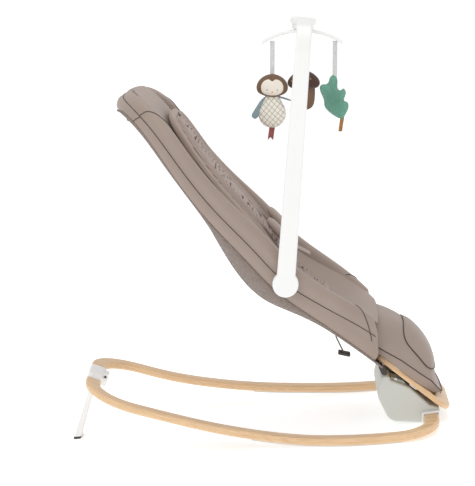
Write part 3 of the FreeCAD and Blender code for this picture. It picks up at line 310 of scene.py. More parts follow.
def grid_piece(name, points, material, close_rows=False, close_columns=False, placed=False, facing=None):
    """A piece from a grid of points (rows, columns, 3), with a UV map in metres along its rows and columns.

    facing is a rough outward direction for an open grid, which has no inside of its own."""
    points = np.asarray(points, float)
    points = points if placed else stand(points)
    rows, columns = points.shape[:2]
    corners, places = grid_faces(rows, columns, close_rows, close_columns)
    if facing is not None:
        p = points.reshape(-1, 3)
        cross = np.cross(p[corners[:, 2]] - p[corners[:, 0]], p[corners[:, 3]] - p[corners[:, 1]])
        if (cross @ np.asarray(facing, float)).sum() < 0:
            corners, places = corners[:, ::-1], places[:, ::-1]
    down = np.linalg.norm(np.diff(np.concatenate((points, points[:1])), axis=0), axis=2).mean(1)
    over = np.linalg.norm(np.diff(np.concatenate((points, points[:, :1]), axis=1), axis=1), axis=2).max(0)
    row_run = np.concatenate(([0], np.cumsum(down)))
    column_run = np.concatenate(([0], np.cumsum(over)))
    mesh = bpy.data.meshes.new(name)
    mesh.from_pydata(points.reshape(-1, 3).tolist(), [], corners.tolist())
    layer = mesh.uv_layers.new(name="UVMap")
    flat = places.reshape(-1, 2)
    uv = np.stack([column_run[flat[:, 1]], row_run[flat[:, 0]]], axis=1)
    layer.data.foreach_set("uv", uv.astype(np.float32).ravel())
    tidy_mesh(mesh, outward=facing is None)
    mesh.materials.append(material)
    piece = bpy.data.objects.new(name, mesh)
    bpy.context.collection.objects.link(piece)
    return piece


def tube_points(path, radius, sides=8, up=(0.31, 0.83, 0.46), closed=False):
    """Round section carried along a path of points, square to it, with closed pointed-off ends."""
    path = np.asarray(path, float)
    if closed:
        ahead = np.roll(path, -1, 0) - np.roll(path, 1, 0)
    else:
        ahead = np.gradient(path, axis=0)
    ahead /= np.linalg.norm(ahead, axis=1)[:, None]
    side = np.cross(ahead, np.asarray(up, float))
    side /= np.linalg.norm(side, axis=1)[:, None]
    top = np.cross(side, ahead)
    phi = np.linspace(0, 2 * np.pi, sides, endpoint=False)
    size = np.full(len(path), float(radius))
    if not closed:
        size[[0, -1]] = 0
    ring = np.cos(phi)[None, :, None] * side[:, None] + np.sin(phi)[None, :, None] * top[:, None]
    return path[:, None] + ring * size[:, None, None]


def tube_piece(name, paths, radius, material, sides=8, closed=False):
    """One piece of several tubes, each along its own path."""
    parts = [grid_piece(f"{name}_{k}", tube_points(path, radius, sides, closed=closed), material,
                        close_rows=closed, close_columns=True, placed=True) for k, path in enumerate(paths)]
    return joined(name, parts)


def joined(name, parts):
    """Several mesh pieces as one piece, keeping their materials and UV maps."""
    work = bmesh.new()
    materials = []
    for part in parts:
        slots = [m for m in part.data.materials]
        for slot in slots:
            if slot not in materials:
                materials.append(slot)
        start = len(work.faces)
        work.from_mesh(part.data)
        work.faces.ensure_lookup_table()
        for face in work.faces[start:]:
            face.material_index = materials.index(slots[face.material_index])
    mesh = bpy.data.meshes.new(name)
    work.to_mesh(mesh)
    work.free()
    for material in materials:
        mesh.materials.append(material)
    for part in parts:
        old = part.data
        bpy.data.objects.remove(part)
        bpy.data.meshes.remove(old)
    mesh.shade_smooth()
    piece = bpy.data.objects.new(name, mesh)
    bpy.context.collection.objects.link(piece)
    return piece


def add_solidify(piece, thickness, offset=-1.0):
    """Give an open sheet a wall."""
    wall = piece.modifiers.new("wall", "SOLIDIFY")
    wall.thickness = thickness
    wall.offset = offset
    return piece


def blob(centre, sizes, power=1.0, rows=40, columns=56, lean=0.0):
    """Closed round form: a ball stretched to half sizes, boxier as its power falls, leaning in the XZ plane."""
    theta = np.linspace(0, np.pi, rows)[:, None]
    phi = np.linspace(0, 2 * np.pi, columns, endpoint=False)[None, :]
    x = bulge(np.sin(theta), power) * bulge(np.cos(phi), power) * sizes[0]
    y = bulge(np.sin(theta), power) * bulge(np.sin(phi), power) * sizes[1]
    z = bulge(np.cos(theta), power) * sizes[2] + 0 * phi
    c, s = math.cos(lean), math.sin(lean)
    return np.stack([centre[0] + x * c + z * s, centre[1] + y, centre[2] - x * s + z * c], axis=-1)


# ---- materials ----------------------------------------------------------------------------------
def wire(tree, *pairs):
    """Link pairs of sockets: output, input, output, input."""
    for source, target in zip(pairs[::2], pairs[1::2]):
        tree.links.new(source, target)


def maths(tree, operation, first, second=None, third=None):
    """A math node whose inputs are sockets or numbers; gives its output."""
    node = tree.nodes.new("ShaderNodeMath")
    node.operation = operation
    for socket, value in zip(node.inputs, (first, second, third)):
        if value is None:
            continue
        if isinstance(value, (int, float)):
            socket.default_value = value
        else:
            tree.links.new(value, socket)
    return node.outputs[0]


def mix_colours(tree, factor, first, second):
    """Blend of two colours by a factor socket."""
    node = tree.nodes.new("ShaderNodeMix")
    node.data_type = "RGBA"
    for name, value in (("Factor_Float", factor), ("A_Color", first), ("B_Color", second)):
        socket = next(s for s in node.inputs if s.identifier == name)
        if isinstance(value, (tuple, list)) or hasattr(value, "__len__"):
            socket.default_value = (*tuple(value)[:3], 1.0)
        elif isinstance(value, (int, float)):
            socket.default_value = value
        else:
            tree.links.new(value, socket)
    return next(s for s in node.outputs if s.identifier == "Result_Color")


def new_group(name, inputs, outputs):
    """An empty shader node group with its named sockets and its input and output nodes."""
    group = bpy.data.node_groups.new(name, "ShaderNodeTree")
    for label, kind, default in inputs:
        socket = group.interface.new_socket(name=label, in_out="INPUT", socket_type=kind)
        if default is not None:
            socket.default_value = default
    for label, kind in outputs:
        group.interface.new_socket(name=label, in_out="OUTPUT", socket_type=kind)
    return group, group.nodes.new("NodeGroupInput"), group.nodes.new("NodeGroupOutput")


def noise(tree, vector, scale, detail=3.0, roughness=0.55):
    """Noise texture's value at a vector."""
    node = tree.nodes.new("ShaderNodeTexNoise")
    node.inputs["Scale"].default_value = scale
    node.inputs["Detail"].default_value = detail
    node.inputs["Roughness"].default_value = roughness
    tree.links.new(vector, node.inputs["Vector"])
    return node.outputs["Fac"]


def grain_group():
    """Fine moulded or coated grain: pebbles of one size, with broad soft unevenness over them."""
    group, source, target = new_group(
        "fine_grain", [("Vector", "NodeSocketVector", None), ("Scale", "NodeSocketFloat", 900.0)],
        [("Height", "NodeSocketFloat"), ("Patches", "NodeSocketFloat")])
    pebble = group.nodes.new("ShaderNodeTexVoronoi")
    pebble.feature = "SMOOTH_F1"
    wire(group, source.outputs["Vector"], pebble.inputs["Vector"], source.outputs["Scale"], pebble.inputs["Scale"])
    patches = noise(group, source.outputs["Vector"], 14.0, 4.0)
    wire(group, pebble.outputs["Distance"], target.inputs["Height"], patches, target.inputs["Patches"])
    return group


def weave_group():
    """Woven or knitted threads: two crossed sets of rounded ridges, with single threads lighter and darker."""
    group, source, target = new_group(
        "weave", [("Vector", "NodeSocketVector", None), ("Threads", "NodeSocketFloat", 1100.0)],
        [("Height", "NodeSocketFloat"), ("Threads", "NodeSocketFloat")])
    parts = group.nodes.new("ShaderNodeSeparateXYZ")
    group.links.new(source.outputs["Vector"], parts.inputs[0])
    count = source.outputs["Threads"]
    turns = maths(group, "MULTIPLY", count, 6.2832)
    across = maths(group, "SINE", maths(group, "MULTIPLY", parts.outputs["X"], turns))
    along = maths(group, "SINE", maths(group, "MULTIPLY", parts.outputs["Y"], turns))
    height = maths(group, "MULTIPLY", across, along)
    cell = group.nodes.new("ShaderNodeTexWhiteNoise")
    snapped = group.nodes.new("ShaderNodeVectorMath")
    snapped.operation = "SNAP"
    snapped.inputs[1].default_value = (0.0022, 0.0011, 0.0022)
    wire(group, source.outputs["Vector"], snapped.inputs[0], snapped.outputs[0], cell.inputs["Vector"],
         height, target.inputs["Height"], cell.outputs["Value"], target.inputs["Threads"])
    return group


def wood_group():
    """Wood: fine lines and pores drawn out along X, broad colour drift, and thin glued layers along Z."""
    group, source, target = new_group(
        "wood_grain", [("Vector", "NodeSocketVector", None), ("Layers", "NodeSocketFloat", 640.0)],
        [("Lines", "NodeSocketFloat"), ("Drift", "NodeSocketFloat"), ("Height", "NodeSocketFloat")])
    stretch = group.nodes.new("ShaderNodeMapping")
    stretch.inputs["Scale"].default_value = (3.0, 55.0, 55.0)
    group.links.new(source.outputs["Vector"], stretch.inputs["Vector"])
    fine = noise(group, stretch.outputs[0], 7.0, 6.0, 0.6)
    drift = noise(group, stretch.outputs[0], 0.7, 3.0)
    parts = group.nodes.new("ShaderNodeSeparateXYZ")
    group.links.new(source.outputs["Vector"], parts.inputs[0])
    wobble = maths(group, "MULTIPLY", drift, 3.0)
    layer = maths(group, "MULTIPLY_ADD", parts.outputs["Z"], source.outputs["Layers"], wobble)
    layered = group.nodes.new("ShaderNodeTexNoise")
    layered.noise_dimensions = "1D"
    layered.inputs["Scale"].default_value = 1.0
    layered.inputs["Detail"].default_value = 2.0
    group.links.new(layer, layered.inputs["W"])
    layers = maths(group, "MULTIPLY", layered.outputs["Fac"], 0.5)
    lines = maths(group, "ADD", maths(group, "MULTIPLY", fine, 0.55), layers)
    wire(group, lines, target.inputs["Lines"], drift, target.inputs["Drift"], fine, target.inputs["Height"])
    return group


GROUPS = {}


def group_node(tree, name, maker, vector, **values):
    """Place a shared node group in a material, building it the first time."""
    if name not in GROUPS:
        GROUPS[name] = maker()
    node = tree.nodes.new("ShaderNodeGroup")
    node.node_tree = GROUPS[name]
    tree.links.new(vector, node.inputs["Vector"])
    for key, value in values.items():
        node.inputs[key].default_value = value
    return node


def start_material(name, roughness, specular=0.5, sheen=0.0, coat=0.0, metallic=0.0):
    """A material with its Principled shader, and the object and UV places of the surface."""
    material = bpy.data.materials.new(name)
    material.use_nodes = True
    tree = material.node_tree
    shader = tree.nodes["Principled BSDF"]
    shader.inputs["Roughness"].default_value = roughness
    shader.inputs["Specular IOR Level"].default_value = specular
    shader.inputs["Sheen Weight"].default_value = sheen
    shader.inputs["Sheen Roughness"].default_value = 0.4
    shader.inputs["Coat Weight"].default_value = coat
    shader.inputs["Coat Roughness"].default_value = 0.25
    shader.inputs["Metallic"].default_value = metallic
    places = tree.nodes.new("ShaderNodeTexCoord")
    return material, tree, shader, places


def add_bump(tree, shader, height, distance, strength=0.6):
    """Bump feeding the shader's normal."""
    bump = tree.nodes.new("ShaderNodeBump")
    bump.inputs["Distance"].default_value = distance
    bump.inputs["Strength"].default_value = strength
    wire(tree, height, bump.inputs["Height"], bump.outputs[0], shader.inputs["Normal"])


def shades(base, depth):
    """A lighter and a darker shade of a colour."""
    base = np.array(base[:])
    return tuple(np.clip(base * (1 + depth), 0, 1)), tuple(base * (1 - depth))


def coated_cloth(name, base, depth=0.07, grain=1100.0, roughness=0.52, relief=0.00016):
    """Soft coated cloth or moulded plastic: fine grain, faint colour patches, roughness that drifts."""
    material, tree, shader, places = start_material(name, roughness, 0.42, sheen=0.12)
    grain_node = group_node(tree, "fine_grain", grain_group, places.outputs["Object"], Scale=grain)
    light, dark = shades(base, depth)
    wire(tree, mix_colours(tree, grain_node.outputs["Patches"], dark, light), shader.inputs["Base Color"])
    rough = maths(tree, "MULTIPLY_ADD", grain_node.outputs["Patches"], 0.18, roughness - 0.09)
    wire(tree, rough, shader.inputs["Roughness"])
    add_bump(tree, shader, grain_node.outputs["Height"], relief)
    return material


def woven_cloth(name, base, threads=900.0, depth=0.16, relief=0.0004, sheen=0.25, roughness=0.85):
    """Woven or knitted cloth on the piece's own UV map, in threads to the metre."""
    material, tree, shader, places = start_material(name, roughness, 0.2, sheen=sheen)
    weave = group_node(tree, "weave", weave_group, places.outputs["UV"], Threads=threads)
    light, dark = shades(base, depth)
    body = maths(tree, "MULTIPLY_ADD", weave.outputs["Height"], 0.22, maths(tree, "MULTIPLY_ADD",
                                                                          weave.outputs["Threads"], 0.6, 0.2))
    wire(tree, mix_colours(tree, body, dark, light), shader.inputs["Base Color"])
    add_bump(tree, shader, weave.outputs["Height"], relief, 0.8)
    return material


def plush_cloth(name, base, depth=0.2, specks=None):
    """Short pile cloth: fine tufts in two shades, with paler specks where it is printed."""
    material, tree, shader, places = start_material(name, 0.95, 0.1, sheen=0.4)
    tufts = noise(tree, places.outputs["Object"], 700.0, 4.0, 0.7)
    light, dark = shades(base, depth)
    tone = mix_colours(tree, tufts, dark, light)
    if specks:
        dots = tree.nodes.new("ShaderNodeTexVoronoi")
        dots.inputs["Scale"].default_value = 95.0
        tree.links.new(places.outputs["Object"], dots.inputs["Vector"])
        tone = mix_colours(tree, maths(tree, "LESS_THAN", dots.outputs["Distance"], 0.2), tone, specks)
    wire(tree, tone, shader.inputs["Base Color"])
    add_bump(tree, shader, tufts, 0.0012, 0.7)
    return material


def lattice_cloth(name, base, line):
    """Cream cloth printed with a lattice of thin crossed lines and a fine weave."""
    material, tree, shader, places = start_material(name, 0.9, 0.15, sheen=0.3)
    parts = tree.nodes.new("ShaderNodeSeparateXYZ")
    tree.links.new(places.outputs["Object"], parts.inputs[0])
    masks = []
    for sign in (1.0, -1.0):
        slant = maths(tree, "MULTIPLY_ADD", parts.outputs["X"], sign * 1.1, parts.outputs["Z"])
        fold = maths(tree, "FRACT", maths(tree, "MULTIPLY", slant, 78.0))
        masks.append(maths(tree, "LESS_THAN", fold, 0.13))
    lines = maths(tree, "MAXIMUM", *masks)
    weave = noise(tree, places.outputs["Object"], 900.0, 2.0)
    light, dark = shades(base, 0.06)
    tone = mix_colours(tree, maths(tree, "MULTIPLY", lines, 0.8), mix_colours(tree, weave, dark, light), line)
    wire(tree, tone, shader.inputs["Base Color"])
    add_bump(tree, shader, weave, 0.0006)
    return material


def moulded_plastic(name, base, roughness=0.38, grain=2600.0, relief=0.00004, coat=0.0):
    """Moulded plastic: nearly even colour, fine grain, and handling marks in its gloss."""
    material, tree, shader, places = start_material(name, roughness, 0.5, coat=coat)
    grain_node = group_node(tree, "fine_grain", grain_group, places.outputs["Object"], Scale=grain)
    light, dark = shades(base, 0.018)
    wire(tree, mix_colours(tree, grain_node.outputs["Patches"], dark, light), shader.inputs["Base Color"])
    marks = noise(tree, places.outputs["Object"], 60.0, 5.0)
    wire(tree, maths(tree, "MULTIPLY_ADD", marks, 0.16, roughness - 0.08), shader.inputs["Roughness"])
    add_bump(tree, shader, grain_node.outputs["Height"], relief, 0.5)
    return material


def plain_metal(name, base, roughness, metallic=1.0):
    """Bare metal with fine scratches in its gloss."""
    material, tree, shader, places = start_material(name, roughness, 0.5, metallic=metallic)
    scratch = noise(tree, places.outputs["Object"], 450.0, 5.0, 0.7)
    light, dark = shades(base, 0.08)
    wire(tree, mix_colours(tree, scratch, dark, light), shader.inputs["Base Color"],
         maths(tree, "MULTIPLY_ADD", scratch, 0.22, roughness - 0.1), shader.inputs["Roughness"])
    return material


def lacquered_wood(name, base, dark, centre=None, slope=0.0):
    """Lacquered bent wood: grain along the length, thin glued layers seen on its edges.

    centre is the rockers' bend centre, so that their layers are rings about it; slope turns a flat board's."""
    material, tree, shader, places = start_material(name, 0.4, 0.5, coat=0.22)
    if centre is None:
        turned = tree.nodes.new("ShaderNodeMapping")
        turned.inputs["Rotation"].default_value = (0, -slope, 0)
        tree.links.new(places.outputs["Object"], turned.inputs["Vector"])
        vector = turned.outputs[0]
    else:
        parts = tree.nodes.new("ShaderNodeSeparateXYZ")
        tree.links.new(places.outputs["Object"], parts.inputs[0])
        dx = maths(tree, "SUBTRACT", parts.outputs["X"], centre[0])
        dz = maths(tree, "SUBTRACT", parts.outputs["Z"], centre[1])
        squares = maths(tree, "ADD", maths(tree, "MULTIPLY", dx, dx), maths(tree, "MULTIPLY", dz, dz))
        depth = maths(tree, "SQRT", squares)
        whole = tree.nodes.new("ShaderNodeCombineXYZ")
        wire(tree, parts.outputs["X"], whole.inputs[0], parts.outputs["Y"], whole.inputs[1], depth, whole.inputs[2])
        vector = whole.outputs[0]
    grain = group_node(tree, "wood_grain", wood_group, vector)
    lines = tree.nodes.new("ShaderNodeMapRange")
    lines.inputs["From Min"].default_value = 0.40
    lines.inputs["From Max"].default_value = 0.62
    tree.links.new(grain.outputs["Lines"], lines.inputs["Value"])
    tone = mix_colours(tree, lines.outputs[0], tuple(dark), tuple(base))
    pale, _ = shades(base, 0.12)
    tone = mix_colours(tree, maths(tree, "MULTIPLY", grain.outputs["Drift"], 0.5), tone, pale)
    wire(tree, tone, shader.inputs["Base Color"],
         maths(tree, "MULTIPLY_ADD", grain.outputs["Drift"], 0.2, 0.28), shader.inputs["Roughness"])
    add_bump(tree, shader, grain.outputs["Height"], 0.00012, 0.5)
    return material


MATERIALS = {}


def finish(name):
    """The named material, once make_materials has run."""
    return MATERIALS[name]


def make_materials(colours):
    """Every finish of the object, from the colour settings."""
    bend_centre = stand((0, 0, BEND_RADIUS))[[0, 2]]
    slope = BOARD_SLOPE + STAND_ANGLE
    MATERIALS.update(
        taupe=coated_cloth("taupe_coated_cloth", colours.taupe),
        liner=coated_cloth("embroidered_liner", colours.liner, 0.12, 1500.0, 0.6, 0.0002),
        knit=woven_cloth("knitted_panel", colours.knit, 420.0, 0.42, 0.0009),
        sling=woven_cloth("woven_lining", colours.taupe, 900.0, 0.2),
        # The seam thread also draws the liner's valley lines and the pocket's slit line, where its dark colour is
        # painted shade.
        thread=woven_cloth("seam_thread_and_painted_shade", colours.thread, 1500.0, 0.25),
        tab=woven_cloth("tab_webbing", colours.tab, 700.0, 0.2),
        rocker=lacquered_wood("bent_wood", colours.wood, colours.wood_dark, centre=bend_centre),
        board=lacquered_wood("board_wood", colours.wood, colours.wood_dark, slope=slope),
        white=moulded_plastic("white_plastic", colours.white, 0.34),
        grey=moulded_plastic("housing_plastic", colours.grey, 0.5, 1500.0, 0.00008),
        dark=moulded_plastic("dark_plastic", colours.dark, 0.45),
        rubber=moulded_plastic("soft_rubber", (0.06, 0.06, 0.06), 0.8, 1800.0, 0.0001),
        strip=moulded_plastic("anti_slip_strip", (0.74, 0.74, 0.72), 0.6, 1800.0, 0.0001),
        steel=plain_metal("zinc_steel", (0.62, 0.62, 0.63), 0.32),
        tube=plain_metal("satin_tube", (0.72, 0.72, 0.72), 0.4),
        owl=plush_cloth("owl_cloth", colours.owl),
        cream=plush_cloth("cream_cloth", colours.cream, 0.06),
        lattice=lattice_cloth("lattice_cloth", colours.cream, (0.20, 0.26, 0.25)),
        wing=plush_cloth("wing_cloth", colours.wing),
        leaf=woven_cloth("leaf_cloth", colours.leaf, 520.0, 0.3, 0.0007, 0.4),
        mushroom=plush_cloth("mushroom_cloth", colours.mushroom, 0.25, specks=(0.32, 0.24, 0.19)),
        stem=plush_cloth("stem_cloth", colours.owl, 0.2),
        ribbon=woven_cloth("rose_ribbon", colours.ribbon, 900.0, 0.15),
        tag=woven_cloth("amber_ribbon", colours.tag, 900.0, 0.15),
        webbing=woven_cloth("white_webbing", (0.82, 0.82, 0.80), 800.0, 0.08),
        beak=moulded_plastic("amber_thread", (0.62, 0.40, 0.08), 0.6),
        eye=moulded_plastic("eye_thread", (0.23, 0.27, 0.28), 0.4),
    )


NODE_FINISH = {
    "rocker": ("rocker_left", "rocker_right"),
    "board": ("board",),
    "white": ("rear_bridge", "collar_left", "collar_right", "kickstand", "hip_socket_left", "hip_socket_right",
              "toy_hub", "toy_arm", "swivel_cap", "mobile_bow", "tube_clamps", "lever_hangers", "buckle_body",
              "buckle_tongues", "cradle_bushes", "bracket_bushes"),
    "grey": ("housing_shell", "housing_cap", "housing_base_plate", "buckle_button"),
    "dark": ("kickstand_latch", "recline_lever", "strap_adjuster", "cradle"),
    "rubber": ("kickstand_pad", "bump_stop"),
    "strip": ("anti_slip_left", "anti_slip_right"),
    "steel": ("kickstand_pin", "pivot_axle", "axle_clips", "bounce_springs", "bridge_screws", "housing_screws",
              "board_screws", "board_bracket"),
    "tube": ("side_tube_left", "side_tube_right", "head_tube"),
}


def finish_frame():
    """Give every hard node of the frame its own finish."""
    for name, nodes in NODE_FINISH.items():
        for node in nodes:
            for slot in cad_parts[node].material_slots:
                slot.material = finish(name)


# ---- seat cover -----------------------------------------------------------------------------------
def seat_piece(piece, slot, *replaced):
    """A piece of the seat: it rides on the seat and hides the CAD parts it replaces; slot is not used."""
    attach(piece, "seat")
    if replaced:
        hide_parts(*replaced)
    return piece


def make_rim():
    """Padded rim round the whole seat: one boxy round roll from cuff to cuff, over the head end."""
    runs = np.linspace(-RUN_END, RUN_END, 420)[:, None]
    phi = np.linspace(0, 2 * np.pi, 72, endpoint=False)[None, :]
    piece = grid_piece("rim_cover", roll_point(runs, phi), finish("taupe"), close_columns=True)
    return seat_piece(piece, "taupe_leatherette", "side_cover_left", "side_cover_right", "head_cover")


def make_rim_seams(sizes):
    """Threads of the rim: the long seam round it, and the arcs where the head end's cover is sewn on."""
    runs = np.linspace(-RUN_END + 10, RUN_END - 10, 500)
    paths = [roll_point(runs, roll_angle(runs, np.zeros(500)), 0.5)]
    arc_start, arc_reach = 158.0, 84.0
    climb = np.linspace(0, 1, 60)
    for side in (-1, 1):
        run = side * (arc_start + arc_reach * climb ** 1.7)
        start = roll_angle(run[:1], np.zeros(1))[0]
        paths.append(roll_point(run, start + (np.pi * 0.72 - start) * climb ** 0.9, 0.5))
        run = side * (arc_start + 4 - 10 * climb)
        paths.append(roll_point(run, start + (-np.pi * 0.6 - start) * climb, 0.5))
        run = side * (RUN_END - 18 - 52 * climb ** 0.8)
        low = roll_angle(run[:1], np.full(1, -14.0))[0]
        paths.append(roll_point(run, low + (np.pi * 0.72 - low) * climb, 0.5))
    lines = [stand(path) for path in paths]
    return seat_piece(tube_piece("rim_seams", lines, sizes.thread, finish("thread")), "taupe_leatherette")


def make_floor():
    """Seat's inner face, from the crown to the knees: the head pad is full, and the floor falls to the lap."""
    runs = np.linspace(0, RUN_END - 2, 150)[:, None]
    across = np.linspace(-1, 1, 61)[None, :]
    piece = grid_piece("seat_inner", floor_point(runs, across), finish("taupe"), facing=(0.7, 0, 0.7))
    add_solidify(piece, 0.003)
    return seat_piece(piece, "taupe_leatherette", "seat_sling")


def make_hull():
    """Underside: smooth bottom panel between two knitted side panels; their piping is made by make_hull_piping."""
    runs = np.linspace(0, RUN_END, 130)[:, None]
    join = 0.30
    centre = np.linspace(join, 1 - join, 40)[None, :] * np.pi
    bottom = grid_piece("under_panel", hull_point(runs, centre), finish("taupe"), facing=(-0.7, 0, -0.7))
    add_solidify(bottom, 0.002, 1.0)
    seat_piece(bottom, "taupe_leatherette", "under_cover")
    for side, label in ((1, "left"), (-1, "right")):
        spread = np.linspace(0.0, join, 24)[None, :] * np.pi
        spread = spread if side > 0 else np.pi - spread
        panel = grid_piece(f"knit_{label}", hull_point(runs[14:], spread), finish("knit"), facing=(-0.3, side, -0.3))
        add_solidify(panel, 0.002, 1.0)
        seat_piece(panel, "knit", f"gusset_{label}")


def make_hull_piping(sizes):
    """Piping along both edges of the bottom panel."""
    runs = np.linspace(30, RUN_END - 4, 220)
    paths = [stand(hull_point(runs, np.full(220, angle * np.pi), 1.2)) for angle in (0.30, 0.70)]
    return seat_piece(tube_piece("under_piping", paths, sizes.piping * 0.7, finish("thread")), "taupe_leatherette")


# ---- liner ------------------------------------------------------------------------------------------
LINER_TOP, LINER_LOW = 206.0, 728.0
LINER_HALF_WIDTH = 132.0


def liner_half(u):
    """Half width of the liner at u from -1 (head) to 1 (lap): square at the head, drawn in to a tongue."""
    taper = 1 - 0.42 / (1 + np.exp(-(u - 0.66) * 14))
    return LINER_HALF_WIDTH * taper * np.clip(1 - np.abs(u) ** 5, 0, 1) ** 0.3


def liner_point(u, side, height):
    """Place on the liner: u along it, side in millimetres across, height above the seat's inner face."""
    run = (LINER_TOP + LINER_LOW) / 2 + u * (LINER_LOW - LINER_TOP) / 2
    values = rim(run.ravel())
    lift = values[:, 7] + 1 + 3.5 * (np.abs(side.ravel()) / LINER_HALF_WIDTH) ** 2 + height.ravel()
    place = values[:, :3] * np.array([1, 0, 1]) + face_normal(values) * lift[:, None]
    place[:, 1] = side.ravel()
    return place.reshape(u.shape + (3,))


def quilting(u, side, spacing):
    """Sewn ridges like long leaves: curved ribs that leave a wandering midline, leaf after leaf."""
    along = u * (LINER_LOW - LINER_TOP) / 2
    midline = 26 * np.sin(along / 58.0)
    off = side - midline
    rib = (along * 0.62 + np.abs(off) ** 1.25 * 0.52 + 9 * np.sin(off / 31.0 + along / 47.0)) / spacing
    return np.abs(np.cos(np.pi * rib)) ** 0.6 * np.clip(np.abs(off) / 3.0, 0, 1)


def stitch_and_valley_shade_paths(spacing, height):
    """The valleys between the ridges, as lines on the liner's face, and the wandering midline. Drawn as dark thread,
    they are the sewn seams and also paint the shade that falls in the valleys.
    """
    paths = []
    reach = (LINER_LOW - LINER_TOP) / 2
    for count in range(-34, 42):
        off = np.linspace(-150, 150, 150)
        along = np.zeros(150)
        for _ in range(25):
            bend = np.abs(off) ** 1.25 * 0.52 + 9 * np.sin(off / 31.0 + along / 47.0)
            along = ((count + 0.5) * spacing - bend) / 0.62
        paths.append((along, off + 26 * np.sin(along / 58.0)))
    along = np.linspace(-reach, reach, 200)
    paths.append((along, 26 * np.sin(along / 58.0)))
    lines = []
    for along, side in paths:
        u = along / reach
        inside = (np.abs(u) < 0.955) & (liner_half(np.clip(u, -1, 1)) - np.abs(side) > 13)
        for run in np.split(np.arange(len(u)), np.flatnonzero(np.diff(inside.astype(int))) + 1):
            if inside[run[0]] and len(run) > 6:
                lines.append(stand(liner_point(u[run], side[run], height(u[run], side[run]))))
    return lines


def make_liner(sizes):
    """Quilted liner: a flat pad with rolled edges, sewn ridges on its face and a piped edge."""
    rows, top, low = 300, 210, 30
    u = np.linspace(-1, 1, rows)[:, None]
    psi = np.concatenate((np.linspace(0, np.pi, top, endpoint=False),
                          np.linspace(np.pi, 2 * np.pi, low, endpoint=False)))
    psi = psi[None, :] + 0 * u
    u = u + 0 * psi
    half = liner_half(u)
    side = half * bulge(np.cos(psi), 0.35)
    thick = sizes.liner_thickness / MM / 2
    body = thick * bulge(np.sin(psi), 0.5) * np.clip(1 - np.abs(u) ** 9, 0, 1) ** 0.5
    inset = np.minimum(half - np.abs(side), (1 - np.abs(u)) * (LINER_LOW - LINER_TOP) / 2)
    mask = np.clip((inset - 12) / 8, 0, 1) * (np.sin(psi) > 0.01)
    crown = 3 * (1 - (side / (LINER_HALF_WIDTH + 5)) ** 2) * (np.sin(psi) > 0)
    ridges = quilting(u, side, sizes.ridge / MM) * mask * sizes.quilt / MM
    points = liner_point(u, side, thick + body + crown + ridges)
    piece = grid_piece("quilted_liner", points, finish("liner"), close_columns=True)
    seat_piece(piece, "quilted_liner", "liner")

    def face_height(u, side):
        """Height of the liner's face at the bottom of its valleys."""
        flatness = np.clip(1 - np.abs(side / liner_half(u)) ** (1 / 0.35 * 2), 0, 1) ** 0.25
        full = thick * flatness * np.clip(1 - np.abs(u) ** 9, 0, 1) ** 0.5
        return thick + full + 3 * (1 - (side / (LINER_HALF_WIDTH + 5)) ** 2) + 0.8

    # Dark thread lines along the valleys: the sewn seams, and painted shade standing in for the shade between the
    # ridges.
    lines = stitch_and_valley_shade_paths(sizes.ridge / MM, face_height)
    seat_piece(tube_piece("liner_stitches_and_valley_shade", lines, sizes.thread * 1.1, finish("thread"), sides=5), "quilted_liner")
    turn = np.linspace(0, 2 * np.pi, 500, endpoint=False)
    edge_u = bulge(np.cos(turn), 0.45)
    edge_side = liner_half(edge_u * 0.9995) * np.sign(np.sin(turn)) * np.abs(bulge(np.sin(turn), 0.2))
    path = stand(liner_point(edge_u * 0.998, edge_side, np.full(500, thick)))
    edge = tube_piece("liner_piping", [path], sizes.piping, finish("taupe"), closed=True)
    return seat_piece(edge, "quilted_liner")


# ---- foot end ---------------------------------------------------------------------------------------
FOOT_CENTRE, FOOT_REACH, FOOT_HALF = 46.0, 127.0, 121.0
FOOT_TOP = np.array([(-80, 58), (-54, 66), (-30, 70), (0, 73), (25, 74), (64, 70), (95, 62), (120, 51), (150, 28),
                     (173, 6)], float)


def foot_outline(turn):
    """Edge of the foot cover on the board at a turn from 0 (foot end): a boxy oval, narrower at the foot."""
    along = bulge(np.cos(turn), 0.62)
    across = bulge(np.sin(turn), 0.62)
    return FOOT_CENTRE + FOOT_REACH * along, FOOT_HALF * across * (1 - 0.13 * along)


def foot_height(along):
    """Height of the foot cover's middle above the board."""
    return natural_cubic(FOOT_TOP[:, 0], FOOT_TOP[:, 1], np.ravel(along)).reshape(np.shape(along))


def foot_edge_height(along):
    """Height of the foot cover's lower piping above the board."""
    return np.interp(along, (-90, -54, -14, 46, 126, 151, 176), (30, 22, 12, 20, 22, 16, 8))


def foot_surface(reach, turn, lift=0.0):
    """Foot cover's top: from its edge (reach 1) it rises as a boxy round to the middle line's height."""
    reach, turn = np.broadcast_arrays(reach, turn)
    edge_along, edge_across = foot_outline(turn)
    along = FOOT_CENTRE + (edge_along - FOOT_CENTRE) * reach
    across = edge_across * reach
    low = foot_edge_height(edge_along)
    middle = np.minimum(foot_height(along), 79)
    rise = np.clip(1 - reach ** 2.7, 0, 1) ** 0.7
    return on_board(along, across, low + (middle - low) * rise + lift)


